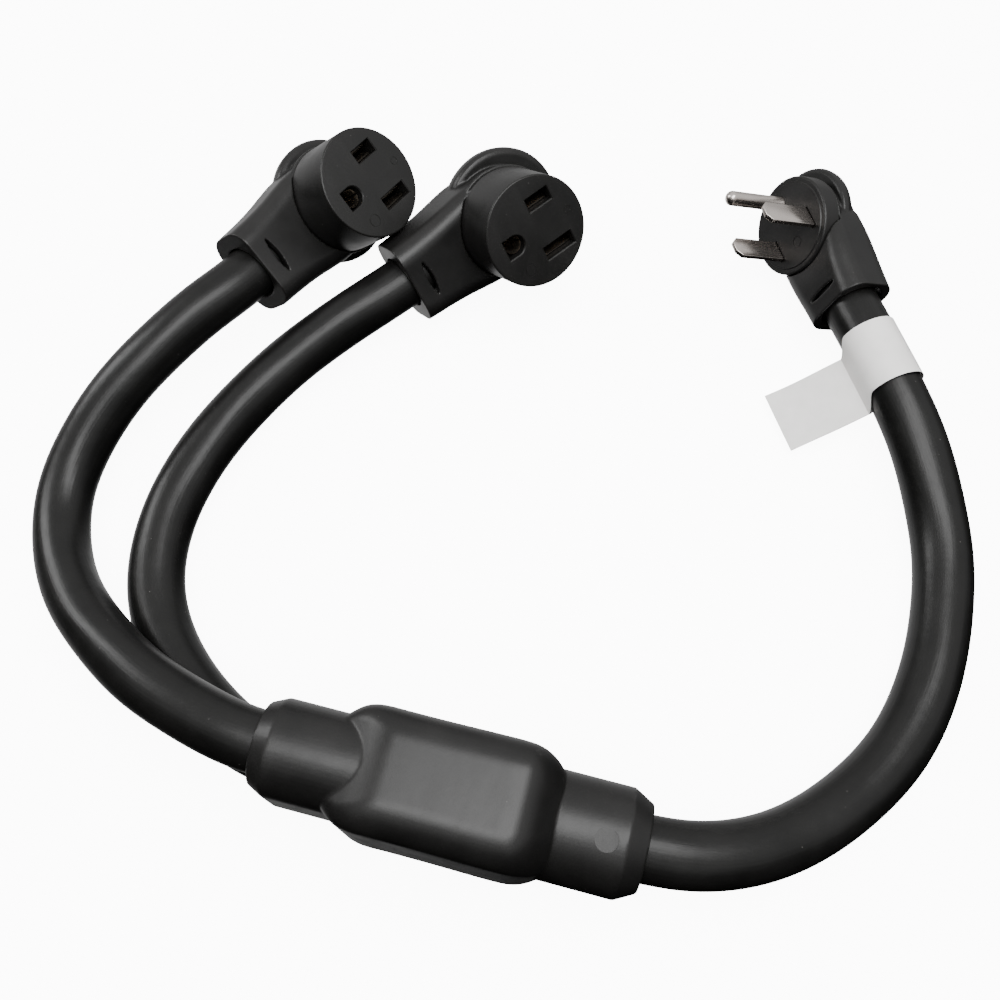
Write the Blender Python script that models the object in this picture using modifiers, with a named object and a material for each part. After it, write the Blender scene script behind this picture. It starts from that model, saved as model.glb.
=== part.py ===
"""A Y power adapter: an angled three-prong plug on a thick trunk cable, a moulded junction,
and two angled receptacles on limb cables. It lies on a table as it was put down.

Metres, +Z up. The origin is the centre of the junction's base, on the table. +X runs along
the junction, from its two-cable end to its one-cable end.
Each connector is built in its own frame: the origin is the centre of its face, +Z leaves the
face, and +X runs towards its cable.
"""

import math

import bmesh
import bpy
from mathutils import Euler, Matrix, Vector

MM = 0.001
GAP = 0.3 * MM

# Cables and the conductors inside them
TRUNK_RADIUS = 11.0 * MM
LIMB_RADIUS = 10.5 * MM
LEAD_RADIUS = 2.75 * MM
BUNDLE_RADIUS = 4.0 * MM
BORE_RADIUS = 7.5 * MM
CABLE_STUB = 5.0 * MM
CABLE_STEP = 13.0 * MM
LEAD_STUB = 1.2 * MM
LEAD_STEP = 6.0 * MM
CABLE_BEVEL_RESOLUTION = 4
LEAD_BEVEL_RESOLUTION = 2

# Junction
JUNCTION_HALF_LENGTH = 64.0 * MM
JUNCTION_AXIS_HEIGHT = 31.5 * MM
LIMB_SPACING = 21.4 * MM
COLLAR_HALF_WIDTH = 16.3 * MM
COLLAR_HALF_HEIGHT = 26.8 * MM
COLLAR_CHAMFER = 2.6 * MM
COLLAR_CHAMFER_LENGTH = 5.4 * MM
BODY_START = -36.6 * MM
TRUNK_COLLAR_RADIUS = 18.0 * MM
TRUNK_COLLAR_START = 34.5 * MM
TRUNK_COLLAR_CHAMFER = 3.7 * MM
TRUNK_COLLAR_CHAMFER_LENGTH = 6.8 * MM
SPLICE_CHAMBER = (-33.0 * MM, 22.0 * MM)
SPLICE_CHAMBER_HALF_WIDTH = 14.5 * MM
SPLICE_CHAMBER_HALF_HEIGHT = 19.0 * MM

# Crimped splices
CRIMP_LENGTH = 20.0 * MM
CRIMP_HALF_WIDTH = 4.0 * MM
CRIMP_HALF_HEIGHT = 8.7 * MM
CRIMP_SPACING = 9.5 * MM
CRIMP_CENTRE_X = -3.0 * MM
CRIMP_LEAD_HEIGHT = 5.5 * MM

# Contacts shared by the plug and the receptacles
LINE_OFFSET = 10.5 * MM
GROUND_DISTANCE = 16.7 * MM

# Receptacles
DRUM_RADIUS = 21.9 * MM
DRUM_DEPTH = 24.5 * MM
DRUM_FILLET = 1.0 * MM
SLOT_X = -6.4 * MM
SLOT_WIDTH = 5.5 * MM
SLOT_LENGTH_1 = 10.5 * MM
SLOT_LENGTH_2 = 13.5 * MM
GROUND_HOLE_APEX = 6.2 * MM
GROUND_HOLE_FLAT = 14.7 * MM
GROUND_HOLE_WIDTH = 8.3 * MM
CONTACT_CLEARANCE = 0.4 * MM
CONTACT_FRONT = -1.5 * MM
CONTACT_BACK = -24.2 * MM
CONTACT_MOUTH = 2.4 * MM
SLEEVE_RADIUS = 3.7 * MM
SLEEVE_BORE = 3.1 * MM
RECEPTACLE_NECK_END = 48.5 * MM
RECEPTACLE_AXIS = -35.4 * MM
RECEPTACLE_CHAMBER_FLOOR = -41.5 * MM

# Plug
DISC_RADIUS = 20.1 * MM
DISC_DEPTH = 8.0 * MM
BLADE_X = 5.0 * MM
BLADE_WIDTH = 9.4 * MM
BLADE_THICKNESS = 1.9 * MM
BLADE_LENGTH = 24.0 * MM
BLADE_CHAMFER = 2.4 * MM
PIN_RADIUS = 3.0 * MM
PIN_LENGTH = 28.0 * MM
PRONG_ROOT = -9.5 * MM
PLUG_NECK_END = 42.0 * MM
PLUG_AXIS = -13.0 * MM
PLUG_CHAMBER_FLOOR = -21.2 * MM

# Label folded round the trunk cable
LABEL_WIDTH = 26.0 * MM
LABEL_REACH = 46.0 * MM
LABEL_THICKNESS = 0.5 * MM
LABEL_CLEARANCE = 0.8 * MM
LABEL_DROOP = math.radians(27.5)

# Where each connector lies: its face centre in millimetres, and its turns in degrees
RECEPTACLE_A_PLACE = ((-93.7, 219.3, 49.24), (-40.6, -9.2, -110.1))
RECEPTACLE_B_PLACE = ((-24.75, 215.6, 45.22), (-52.2, 4.8, -127.9))
PLUG_PLACE = ((73.5, 258.7, 25.98), (65.0, -2.9, -60.9))

# Route points of the cables between their straight ends, in millimetres
LIMB_A_ROUTE = [
    (-146.9, 154.2, 32.5), (-156.4, 137.1, 30.0), (-166.0, 120.5, 25.4), (-171.0, 110.1, 21.8),
    (-176.1, 93.0, 15.8), (-177.3, 79.8, 12.8), (-169.7, 55.9, 13.0), (-156.4, 39.0, 18.5),
    (-139.6, 26.1, 26.0), (-127.8, 19.1, 31.0), (-110.4, 10.5, 36.8), (-94.9, 5.4, 40.0),
    (-79.8, 1.7, 41.9),
]
LIMB_B_ROUTE = [
    (-93.5, 174.8, 17.6), (-102.0, 164.4, 15.5), (-110.9, 152.5, 13.2), (-126.2, 123.4, 10.9),
    (-132.3, 103.3, 10.7), (-135.4, 78.8, 10.7), (-132.9, 58.8, 10.7), (-129.2, 47.8, 10.8),
    (-121.2, 34.6, 11.6), (-107.0, 20.6, 14.4), (-90.6, 9.2, 18.0), (-78.0, 2.6, 20.2),
]
TRUNK_ROUTE = [
    (82.1, 1.8, 29.8), (97.9, 7.8, 26.0), (106.4, 13.0, 22.8), (132.4, 36.8, 14.2),
    (146.8, 60.0, 11.6), (153.9, 84.1, 11.2), (155.2, 123.2, 11.2), (153.8, 135.6, 11.6),
    (150.6, 146.8, 12.8), (146.0, 158.4, 15.2), (140.5, 169.6, 18.2), (133.6, 181.6, 21.2),
    (124.9, 194.6, 23.6), (118.2, 205.0, 24.0), (111.6, 215.5, 23.5),
]
LABEL_KNOT = -2

CORNER_STEPS = 5
ROUND_STEPS = 48
SMALL_ROUND_STEPS = 24
SHARP_ANGLE = math.radians(35.0)

# name: (colour, roughness, metallic)
MATERIALS = {
    "black_overmould": ((0.018, 0.018, 0.019), 0.42, 0.0),
    "black_face_core": ((0.022, 0.022, 0.023), 0.36, 0.0),
    "black_cable_jacket": ((0.014, 0.014, 0.015), 0.34, 0.0),
    "nickel_prong": ((0.60, 0.56, 0.50), 0.28, 1.0),
    "brass_contact": ((0.72, 0.52, 0.22), 0.34, 1.0),
    "copper_crimp": ((0.78, 0.38, 0.22), 0.40, 1.0),
    "black_lead": ((0.03, 0.03, 0.03), 0.45, 0.0),
    "white_lead": ((0.80, 0.80, 0.78), 0.45, 0.0),
    "green_lead": ((0.05, 0.32, 0.10), 0.45, 0.0),
    "white_label": ((0.88, 0.88, 0.87), 0.55, 0.0),
}
LEAD_MATERIALS = ("black_lead", "white_lead", "green_lead")
LEAD_NAMES = ("line_lead_1", "line_lead_2", "ground_lead")
LEAD_SIDES = (-1, 1, 0)


def clear_scene():
    for obj in list(bpy.data.objects):
        bpy.data.objects.remove(obj, do_unlink=True)


def new_collection(name):
    collection = bpy.data.collections.new(name)
    bpy.context.scene.collection.children.link(collection)
    return collection


def new_material(name):
    colour, roughness, metallic = MATERIALS[name]
    material = bpy.data.materials.new(name)
    material.use_nodes = True
    shader = material.node_tree.nodes["Principled BSDF"]
    shader.inputs["Base Color"].default_value = (*colour, 1.0)
    shader.inputs["Roughness"].default_value = roughness
    shader.inputs["Metallic"].default_value = metallic
    return material


class Builder:
    """Keeps the collections and materials, and puts each new object where it belongs."""

    def __init__(self):
        self.parts = new_collection("y_power_adapter")
        self.cutters = new_collection("cutters")
        self.materials = {name: new_material(name) for name in MATERIALS}

    def part(self, name, data, material, parent=None):
        obj = bpy.data.objects.new(name, data)
        obj.data.materials.append(self.materials[material])
        obj.parent = parent
        self.parts.objects.link(obj)
        return obj

    def guide(self, name, data, parent=None):
        obj = bpy.data.objects.new(name, data)
        obj.parent = parent
        obj.hide_render = True
        obj.display_type = "WIRE"
        self.cutters.objects.link(obj)
        return obj

    def frame(self, name, place):
        location, turns = place
        empty = bpy.data.objects.new(name, None)
        empty.location = Vector(location) * MM
        empty.rotation_euler = Euler([math.radians(turn) for turn in turns], "XYZ")
        self.parts.objects.link(empty)
        return empty


def combine(target, tool, operation):
    modifier = target.modifiers.new(f"{operation.lower()}_{tool.name}", "BOOLEAN")
    modifier.operation = operation
    modifier.solver = "EXACT"
    modifier.object = tool


def mesh_from(bm, name):
    bmesh.ops.recalc_face_normals(bm, faces=bm.faces)
    mesh = bpy.data.meshes.new(name)
    bm.to_mesh(mesh)
    bm.free()
    return mesh


def smooth(obj):
    obj.data.shade_smooth()
    obj.data.set_sharp_from_angle(angle=SHARP_ANGLE)


def box_mesh(name, low, high):
    bm = bmesh.new()
    bmesh.ops.create_cube(bm, size=1.0)
    low = Vector(low)
    high = Vector(high)
    size = high - low
    bmesh.ops.scale(bm, vec=size, verts=bm.verts)
    bmesh.ops.translate(bm, vec=(low + high) / 2, verts=bm.verts)
    return mesh_from(bm, name)


def cylinder_mesh(name, radius, start, end, steps):
    """A solid cylinder from one point to another."""
    axis = end - start
    bm = bmesh.new()
    bmesh.ops.create_cone(bm, cap_ends=True, segments=steps, radius1=radius, radius2=radius,
                          depth=axis.length)
    turn = axis.to_track_quat("Z", "Y").to_matrix().to_4x4()
    bmesh.ops.transform(bm, matrix=Matrix.Translation((start + end) / 2) @ turn, verts=bm.verts)
    return mesh_from(bm, name)


def profile_mesh(name, profile, closed=False):
    """A line of (radius, height) points in the XZ plane, for a Screw modifier."""
    bm = bmesh.new()
    verts = [bm.verts.new((radius, 0.0, height)) for radius, height in profile]
    followers = verts[1:] + verts[:1] if closed else verts[1:]
    for first, second in zip(verts, followers):
        bm.edges.new((first, second))
    mesh = bpy.data.meshes.new(name)
    bm.to_mesh(mesh)
    bm.free()
    return mesh


def turn(obj, steps):
    screw = obj.modifiers.new("turn", "SCREW")
    screw.steps = steps
    screw.render_steps = steps
    screw.use_merge_vertices = True
    screw.merge_threshold = 0.00001
    screw.use_smooth_shade = True


def rounded_section(x, half_width, low, high, corner):
    """Points round a rounded rectangle across X, the same number for every section."""
    centres = ((1, 1), (-1, 1), (-1, -1), (1, -1))
    points = []
    for quarter, (side, level) in enumerate(centres):
        centre_y = side * (half_width - corner)
        centre_z = high - corner if level > 0 else low + corner
        for step in range(CORNER_STEPS + 1):
            angle = math.pi / 2 * (quarter + step / CORNER_STEPS)
            points.append(Vector((x, centre_y + corner * math.cos(angle),
                                  centre_z + corner * math.sin(angle))))
    return points


def loft_mesh(name, sections):
    """A closed skin over sections that all have the same number of points."""
    bm = bmesh.new()
    rings = [[bm.verts.new(point) for point in section] for section in sections]
    count = len(rings[0])
    for ring, following in zip(rings, rings[1:]):
        for index in range(count):
            after = (index + 1) % count
            bm.faces.new((ring[index], ring[after], following[after], following[index]))
    bm.faces.new(rings[0])
    bm.faces.new(rings[-1])
    bmesh.ops.remove_doubles(bm, verts=bm.verts, dist=0.000001)
    return mesh_from(bm, name)


def outline_mesh(builder, name, points, half_thickness, height):
    """A flat outline, extruded, as a mesh that a Boolean can use."""
    curve = bpy.data.curves.new(name, "CURVE")
    curve.dimensions = "2D"
    curve.fill_mode = "BOTH"
    curve.extrude = half_thickness
    spline = curve.splines.new("POLY")
    spline.points.add(len(points) - 1)
    for target, point in zip(spline.points, points):
        target.co = (point[0], point[1], 0.0, 1.0)
    spline.use_cyclic_u = True
    obj = builder.guide(name, curve)
    graph = bpy.context.evaluated_depsgraph_get()
    mesh = bpy.data.meshes.new_from_object(obj.evaluated_get(graph))
    mesh.name = name
    bpy.data.objects.remove(obj)
    bm = bmesh.new()
    bm.from_mesh(mesh)
    bmesh.ops.remove_doubles(bm, verts=bm.verts, dist=0.000001)
    bmesh.ops.translate(bm, vec=(0.0, 0.0, height), verts=bm.verts)
    bmesh.ops.recalc_face_normals(bm, faces=bm.faces)
    bm.to_mesh(mesh)
    bm.free()
    return mesh


def smooth_samples(knots, start_direction, end_direction, samples_per_leg=10):
    """Points on a smooth curve through the knots, with the directions given at its ends."""
    lengths = [(after - before).length for before, after in zip(knots, knots[1:])]
    slopes = [(after - before) / length
              for before, after, length in zip(knots, knots[1:], lengths)]
    tangents = [start_direction]
    for index in range(1, len(knots) - 1):
        before, after = lengths[index - 1], lengths[index]
        blended = slopes[index - 1] * after + slopes[index] * before
        tangents.append(blended / (before + after))
    tangents.append(end_direction)
    samples = [knots[0]]
    for index, length in enumerate(lengths):
        for step in range(1, samples_per_leg + 1):
            t = step / samples_per_leg
            samples.append((2 * t**3 - 3 * t**2 + 1) * knots[index]
                           + (t**3 - 2 * t**2 + t) * length * tangents[index]
                           + (3 * t**2 - 2 * t**3) * knots[index + 1]
                           + (t**3 - t**2) * length * tangents[index + 1])
    return samples


def evenly_spaced(samples, spacing):
    """The same line with points a near-even spacing apart, its two ends kept."""
    total = sum((b - a).length for a, b in zip(samples, samples[1:]))
    count = max(2, round(total / spacing))
    points = [samples[0]]
    travelled = 0.0
    for before, after in zip(samples, samples[1:]):
        length = (after - before).length
        while len(points) < count and travelled + length >= total * len(points) / count:
            along = (total * len(points) / count - travelled) / length
            points.append(before.lerp(after, along))
        travelled += length
    return points + [samples[-1]]


def tube(builder, name, points, radius, resolution, material, parent=None):
    curve = bpy.data.curves.new(name, "CURVE")
    curve.dimensions = "3D"
    curve.bevel_depth = radius
    curve.bevel_resolution = resolution
    curve.use_fill_caps = True
    spline = curve.splines.new("POLY")
    spline.points.add(len(points) - 1)
    for target, point in zip(spline.points, points):
        target.co = (*point, 1.0)
    return builder.part(name, curve, material, parent)


def bundle_position(index, flip=1):
    """Where a lead sits in its bundle: the line leads side by side, the ground lead alone."""
    side = LEAD_SIDES[index]
    rise = -BUNDLE_RADIUS / 2 if side else BUNDLE_RADIUS
    return side * BUNDLE_RADIUS * math.cos(math.radians(30.0)), flip * rise


def routed(knots, start_direction, end_direction, stub, spacing):
    """Tube points along a smooth curve, with a straight stub square to each end."""
    inner = [knots[0] + start_direction * stub, *knots[1:-1], knots[-1] - end_direction * stub]
    samples = smooth_samples(inner, start_direction, end_direction)
    return [knots[0], *evenly_spaced(samples, spacing), knots[-1]]


def lead(builder, name, route, start_direction, end_direction, material, parent=None):
    points = routed([Vector(point) for point in route], Vector(start_direction),
                    Vector(end_direction), LEAD_STUB, LEAD_STEP)
    tube(builder, name, points, LEAD_RADIUS, LEAD_BEVEL_RESOLUTION, material, parent)


# ---------------------------------------------------------------- connectors


def drum_profile(radius, depth, fillet):
    """The side of a drum with a rounded front edge, from its front centre to its back centre."""
    corner = 0.3 * fillet
    return [
        (0.0, 0.0), (radius - fillet, 0.0), (radius - corner, -corner), (radius, -fillet),
        (radius, -depth), (0.0, -depth),
    ]


def ground_hole_outline():
    """A D: a flat side near the neck and a round side towards the drum's centre."""
    radius = GROUND_HOLE_WIDTH / 2
    centre = GROUND_HOLE_APEX + radius
    points = [(GROUND_HOLE_FLAT, radius)]
    for step in range(2 * CORNER_STEPS + 1):
        angle = math.pi / 2 + math.pi * step / (2 * CORNER_STEPS)
        points.append((centre + radius * math.cos(angle), radius * math.sin(angle)))
    points.append((GROUND_HOLE_FLAT, -radius))
    return points


def line_contact(builder, name, side, length, parent):
    """Two sprung leaves joined at the back, open to the front for a blade."""
    half_length = length / 2 - CONTACT_CLEARANCE
    half_width = SLOT_WIDTH / 2 - CONTACT_CLEARANCE
    centre = Vector((SLOT_X, side * LINE_OFFSET, 0.0))
    body = box_mesh(name, centre + Vector((-half_length, -half_width, CONTACT_BACK)),
                    centre + Vector((half_length, half_width, CONTACT_FRONT)))
    contact = builder.part(name, body, "brass_contact", parent)
    mouth = box_mesh(f"{name}_mouth",
                     centre + Vector((-length, -CONTACT_MOUTH / 2, CONTACT_BACK + 2 * MM)),
                     centre + Vector((length, CONTACT_MOUTH / 2, 2 * MM)))
    combine(contact, builder.guide(mouth.name, mouth, parent), "DIFFERENCE")


def ground_sleeve(builder, name, parent):
    """A cup that a round pin enters from the front."""
    profile = [
        (0.0, CONTACT_BACK + 1.5 * MM), (SLEEVE_BORE, CONTACT_BACK + 1.5 * MM),
        (SLEEVE_BORE, CONTACT_FRONT), (SLEEVE_RADIUS, CONTACT_FRONT),
        (SLEEVE_RADIUS, CONTACT_BACK), (0.0, CONTACT_BACK),
    ]
    sleeve = builder.part(name, profile_mesh(name, profile), "brass_contact", parent)
    sleeve.location.x = GROUND_HOLE_APEX + CONTACT_CLEARANCE + SLEEVE_RADIUS
    turn(sleeve, SMALL_ROUND_STEPS)


def receptacle_core(builder, name, parent):
    core = builder.part(name, profile_mesh(name, drum_profile(DRUM_RADIUS, DRUM_DEPTH, DRUM_FILLET)),
                        "black_face_core", parent)
    turn(core, ROUND_STEPS)
    through = 3 * MM
    for number, side, length in ((1, -1, SLOT_LENGTH_1), (2, 1, SLOT_LENGTH_2)):
        slot = box_mesh(f"{name}_slot_{number}",
                        (SLOT_X - length / 2, side * LINE_OFFSET - SLOT_WIDTH / 2,
                         -DRUM_DEPTH - through),
                        (SLOT_X + length / 2, side * LINE_OFFSET + SLOT_WIDTH / 2, through))
        combine(core, builder.guide(slot.name, slot, parent), "DIFFERENCE")
    hole = outline_mesh(builder, f"{name}_ground_hole", ground_hole_outline(),
                        DRUM_DEPTH / 2 + through, -DRUM_DEPTH / 2)
    combine(core, builder.guide(hole.name, hole, parent), "DIFFERENCE")


def finger_grip(builder, name, profile, centre_x, cut_x, parent):
    """A turned lip behind the drum, kept on the side away from the cable."""
    disc = builder.guide(name, profile_mesh(name, profile), parent)
    disc.location.x = centre_x
    turn(disc, ROUND_STEPS)
    reach = 60 * MM
    keep_out = box_mesh(f"{name}_end", (cut_x, -reach, -reach), (reach, reach, reach))
    combine(disc, builder.guide(keep_out.name, keep_out, parent), "DIFFERENCE")
    return disc


def hollow(builder, overmould, parent, drum_radius, seat, chamber_radius, floor, axis, end):
    """Clears the room for the face core, and the chamber and bore that the leads lie in."""
    above = 40 * MM
    tools = (
        cylinder_mesh(f"{overmould.name}_seat", drum_radius + GAP, Vector((0, 0, seat)),
                      Vector((0, 0, seat + above)), ROUND_STEPS),
        cylinder_mesh(f"{overmould.name}_chamber", chamber_radius, Vector((0, 0, floor)),
                      Vector((0, 0, seat + 2 * MM)), ROUND_STEPS),
        box_mesh(f"{overmould.name}_throat", (4 * MM, -12 * MM, floor),
                 (24 * MM, 12 * MM, axis + BORE_RADIUS)),
        cylinder_mesh(f"{overmould.name}_bore", BORE_RADIUS, Vector((16 * MM, 0, axis)),
                      Vector((end + 5 * MM, 0, axis)), SMALL_ROUND_STEPS),
    )
    for tool in tools:
        combine(overmould, builder.guide(tool.name, tool, parent), "DIFFERENCE")


def receptacle_overmould(builder, name, parent):
    """The neck, the back of the body and the finger grip, as one moulding."""
    low = RECEPTACLE_AXIS - 13.0 * MM
    high = RECEPTACLE_AXIS + 13.0 * MM
    stations = (
        (-6.0, 15.0, -46.0, -27.0, 8.0), (4.0, 20.5, -48.0, -24.0, 9.5),
        (16.0, 20.2, -48.4, -22.8, 10.5), (28.0, 18.4, -48.4, -22.4, 10.5),
        (40.0, 17.4, -48.4, -22.4, 10.5), (47.0, 17.2, -48.4, -22.4, 10.5),
    )
    sections = [rounded_section(*(value * MM for value in station)) for station in stations]
    sections.append(rounded_section(RECEPTACLE_NECK_END, 15.8 * MM, low + 1.4 * MM,
                                    high - 1.4 * MM, 9.6 * MM))
    overmould = builder.part(name, loft_mesh(name, sections), "black_overmould", parent)
    seat = -DRUM_DEPTH - GAP
    back_profile = [
        (0.0, seat), (22.2 * MM, seat), (22.4 * MM, seat - 0.6 * MM), (21.8 * MM, seat - 1.7 * MM),
        (19.2 * MM, -27.6 * MM), (18.8 * MM, -37.0 * MM), (0.0, -37.0 * MM),
    ]
    back = builder.guide(f"{name}_back", profile_mesh(f"{name}_back", back_profile), parent)
    turn(back, ROUND_STEPS)
    combine(overmould, back, "UNION")
    grip_profile = [
        (0.0, -35.5 * MM), (24.4 * MM, -35.5 * MM), (25.6 * MM, -36.2 * MM), (26.0 * MM, -37.8 * MM),
        (25.6 * MM, -41.4 * MM), (23.6 * MM, -44.0 * MM), (17.0 * MM, -46.6 * MM),
        (9.0 * MM, -47.7 * MM), (0.0, -47.9 * MM),
    ]
    grip = finger_grip(builder, f"{name}_grip", grip_profile, -4.0 * MM, 14.0 * MM, parent)
    combine(overmould, grip, "UNION")
    hollow(builder, overmould, parent, DRUM_RADIUS, seat, 16.3 * MM, RECEPTACLE_CHAMBER_FLOOR,
           RECEPTACLE_AXIS, RECEPTACLE_NECK_END)
    smooth(overmould)


def receptacle(builder, name, place):
    parent = builder.frame(f"{name}_frame", place)
    receptacle_core(builder, f"{name}_face_core", parent)
    receptacle_overmould(builder, f"{name}_overmould", parent)
    line_contact(builder, f"{name}_line_contact_1", -1, SLOT_LENGTH_1, parent)
    line_contact(builder, f"{name}_line_contact_2", 1, SLOT_LENGTH_2, parent)
    ground_sleeve(builder, f"{name}_ground_contact", parent)
    end = RECEPTACLE_NECK_END - GAP
    start = -DRUM_DEPTH - GAP
    for index, side in ((0, -1), (1, 1)):
        across, rise = bundle_position(index)
        height = RECEPTACLE_AXIS + rise
        route = [
            (-5.0 * MM, side * 10.0 * MM, start), (-3.4 * MM, side * 9.8 * MM, -31.0 * MM),
            (6.0 * MM, side * 8.5 * MM, -36.2 * MM), (16.0 * MM, side * 5.5 * MM, -37.3 * MM),
            (27.0 * MM, across, height), (33.0 * MM, across, height), (end, across, height),
        ]
        lead(builder, f"{name}_{LEAD_NAMES[index]}", route, (0, 0, -1), (1, 0, 0),
             LEAD_MATERIALS[index], parent)
    sleeve_x = GROUND_HOLE_APEX + CONTACT_CLEARANCE + SLEEVE_RADIUS
    height = RECEPTACLE_AXIS + bundle_position(2)[1]
    route = [
        (sleeve_x, 0.0, start), (sleeve_x + 1.2 * MM, 0.0, -27.0 * MM),
        (sleeve_x + 6.0 * MM, 0.0, -31.2 * MM), (27.0 * MM, 0.0, height), (end, 0.0, height),
    ]
    lead(builder, f"{name}_{LEAD_NAMES[2]}", route, (0, 0, -1), (1, 0, 0), LEAD_MATERIALS[2], parent)
    return parent


def blade_mesh(builder, name):
    """A flat blade in the XZ plane with chamfered tip corners, drawn flat and stood up."""
    half = BLADE_WIDTH / 2
    points = [
        (-half, PRONG_ROOT), (half, PRONG_ROOT), (half, BLADE_LENGTH - BLADE_CHAMFER),
        (half - BLADE_CHAMFER, BLADE_LENGTH), (-half + BLADE_CHAMFER, BLADE_LENGTH),
        (-half, BLADE_LENGTH - BLADE_CHAMFER),
    ]
    return outline_mesh(builder, name, points, BLADE_THICKNESS / 2, 0.0)


def plug_core(builder, name, parent):
    core = builder.part(name, profile_mesh(name, drum_profile(DISC_RADIUS, DISC_DEPTH, DRUM_FILLET)),
                        "black_face_core", parent)
    turn(core, ROUND_STEPS)
    through = 3 * MM
    for number, side in ((1, -1), (2, 1)):
        slot = box_mesh(f"{name}_slot_{number}",
                        (BLADE_X - BLADE_WIDTH / 2 - GAP,
                         side * LINE_OFFSET - BLADE_THICKNESS / 2 - GAP, -DISC_DEPTH - through),
                        (BLADE_X + BLADE_WIDTH / 2 + GAP,
                         side * LINE_OFFSET + BLADE_THICKNESS / 2 + GAP, through))
        combine(core, builder.guide(slot.name, slot, parent), "DIFFERENCE")
    pin_x = BLADE_X - GROUND_DISTANCE
    hole = cylinder_mesh(f"{name}_pin_hole", PIN_RADIUS + GAP,
                         Vector((pin_x, 0, -DISC_DEPTH - through)), Vector((pin_x, 0, through)),
                         SMALL_ROUND_STEPS)
    combine(core, builder.guide(hole.name, hole, parent), "DIFFERENCE")


def plug_overmould(builder, name, parent):
    """The neck, the back of the plug and its pull grip, as one moulding."""
    low = PLUG_AXIS - 12.5 * MM
    high = PLUG_AXIS + 12.5 * MM
    stations = (
        (-3.0, 13.0, -24.8, -9.6, 6.5), (5.0, 17.6, -25.3, -3.4, 9.0),
        (16.0, 17.4, -25.5, -1.4, 10.0), (26.0, 16.0, -25.5, -0.5, 10.5),
        (34.0, 15.2, -25.5, -0.5, 10.5), (40.5, 15.0, -25.5, -0.5, 10.5),
    )
    sections = [rounded_section(*(value * MM for value in station)) for station in stations]
    sections.append(rounded_section(PLUG_NECK_END, 13.8 * MM, low + 1.2 * MM, high - 1.2 * MM,
                                    9.8 * MM))
    overmould = builder.part(name, loft_mesh(name, sections), "black_overmould", parent)
    seat = -DISC_DEPTH - GAP
    back_profile = [
        (0.0, seat), (19.4 * MM, seat), (19.4 * MM, -9.7 * MM), (17.2 * MM, -10.8 * MM),
        (16.9 * MM, -14.0 * MM), (16.6 * MM, -19.6 * MM), (14.6 * MM, -22.8 * MM),
        (10.0 * MM, -24.6 * MM), (0.0, -24.9 * MM),
    ]
    back = builder.guide(f"{name}_back", profile_mesh(f"{name}_back", back_profile), parent)
    turn(back, ROUND_STEPS)
    combine(overmould, back, "UNION")
    grip_profile = [
        (0.0, -12.4 * MM), (19.4 * MM, -12.4 * MM), (20.6 * MM, -13.2 * MM), (20.9 * MM, -15.0 * MM),
        (20.3 * MM, -17.4 * MM), (18.6 * MM, -18.8 * MM), (0.0, -19.0 * MM),
    ]
    grip = finger_grip(builder, f"{name}_grip", grip_profile, -5.2 * MM, 8.0 * MM, parent)
    combine(overmould, grip, "UNION")
    hollow(builder, overmould, parent, DISC_RADIUS, seat, 14.9 * MM, PLUG_CHAMBER_FLOOR, PLUG_AXIS,
           PLUG_NECK_END)
    smooth(overmould)


def plug(builder, name, place):
    parent = builder.frame(f"{name}_frame", place)
    plug_core(builder, f"{name}_face_core", parent)
    plug_overmould(builder, f"{name}_overmould", parent)
    for number, side in ((1, -1), (2, 1)):
        blade_name = f"{name}_line_blade_{number}"
        blade = builder.part(blade_name, blade_mesh(builder, blade_name), "nickel_prong", parent)
        blade.location = (BLADE_X, side * LINE_OFFSET, 0.0)
        blade.rotation_euler.x = math.pi / 2
    pin_profile = [(0.0, PIN_LENGTH)]
    for step in range(1, CORNER_STEPS + 1):
        angle = math.pi / 2 * (1 - step / CORNER_STEPS)
        pin_profile.append((PIN_RADIUS * math.cos(angle),
                            PIN_LENGTH - PIN_RADIUS + PIN_RADIUS * math.sin(angle)))
    pin_profile += [(PIN_RADIUS, PRONG_ROOT), (0.0, PRONG_ROOT)]
    pin = builder.part(f"{name}_ground_pin", profile_mesh(f"{name}_ground_pin", pin_profile),
                       "nickel_prong", parent)
    pin.location.x = BLADE_X - GROUND_DISTANCE
    turn(pin, SMALL_ROUND_STEPS)
    end = PLUG_NECK_END - GAP
    start = PRONG_ROOT - GAP
    for index, side in ((0, -1), (1, 1)):
        across, rise = bundle_position(index, flip=-1)
        height = PLUG_AXIS + rise
        route = [
            (BLADE_X, side * 10.2 * MM, start), (BLADE_X + 1.6 * MM, side * 9.8 * MM, -13.0 * MM),
            (11.5 * MM, side * 8.0 * MM, -14.8 * MM), (19.0 * MM, side * 5.2 * MM, -13.4 * MM),
            (27.0 * MM, across, height), (33.0 * MM, across, height), (end, across, height),
        ]
        lead(builder, f"{name}_{LEAD_NAMES[index]}", route, (0, 0, -1), (1, 0, 0),
             LEAD_MATERIALS[index], parent)
    height = PLUG_AXIS + bundle_position(2, flip=-1)[1]
    pin_x = BLADE_X - GROUND_DISTANCE
    route = [
        (pin_x, 0.0, start), (pin_x + 1.4 * MM, 0.0, -13.8 * MM), (pin_x + 6.5 * MM, 0.0, -17.8 * MM),
        (4.0 * MM, 0.0, height), (end, 0.0, height),
    ]
    lead(builder, f"{name}_{LEAD_NAMES[2]}", route, (0, 0, -1), (1, 0, 0), LEAD_MATERIALS[2], parent)
    return parent


# ---------------------------------------------------------------- junction


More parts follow.
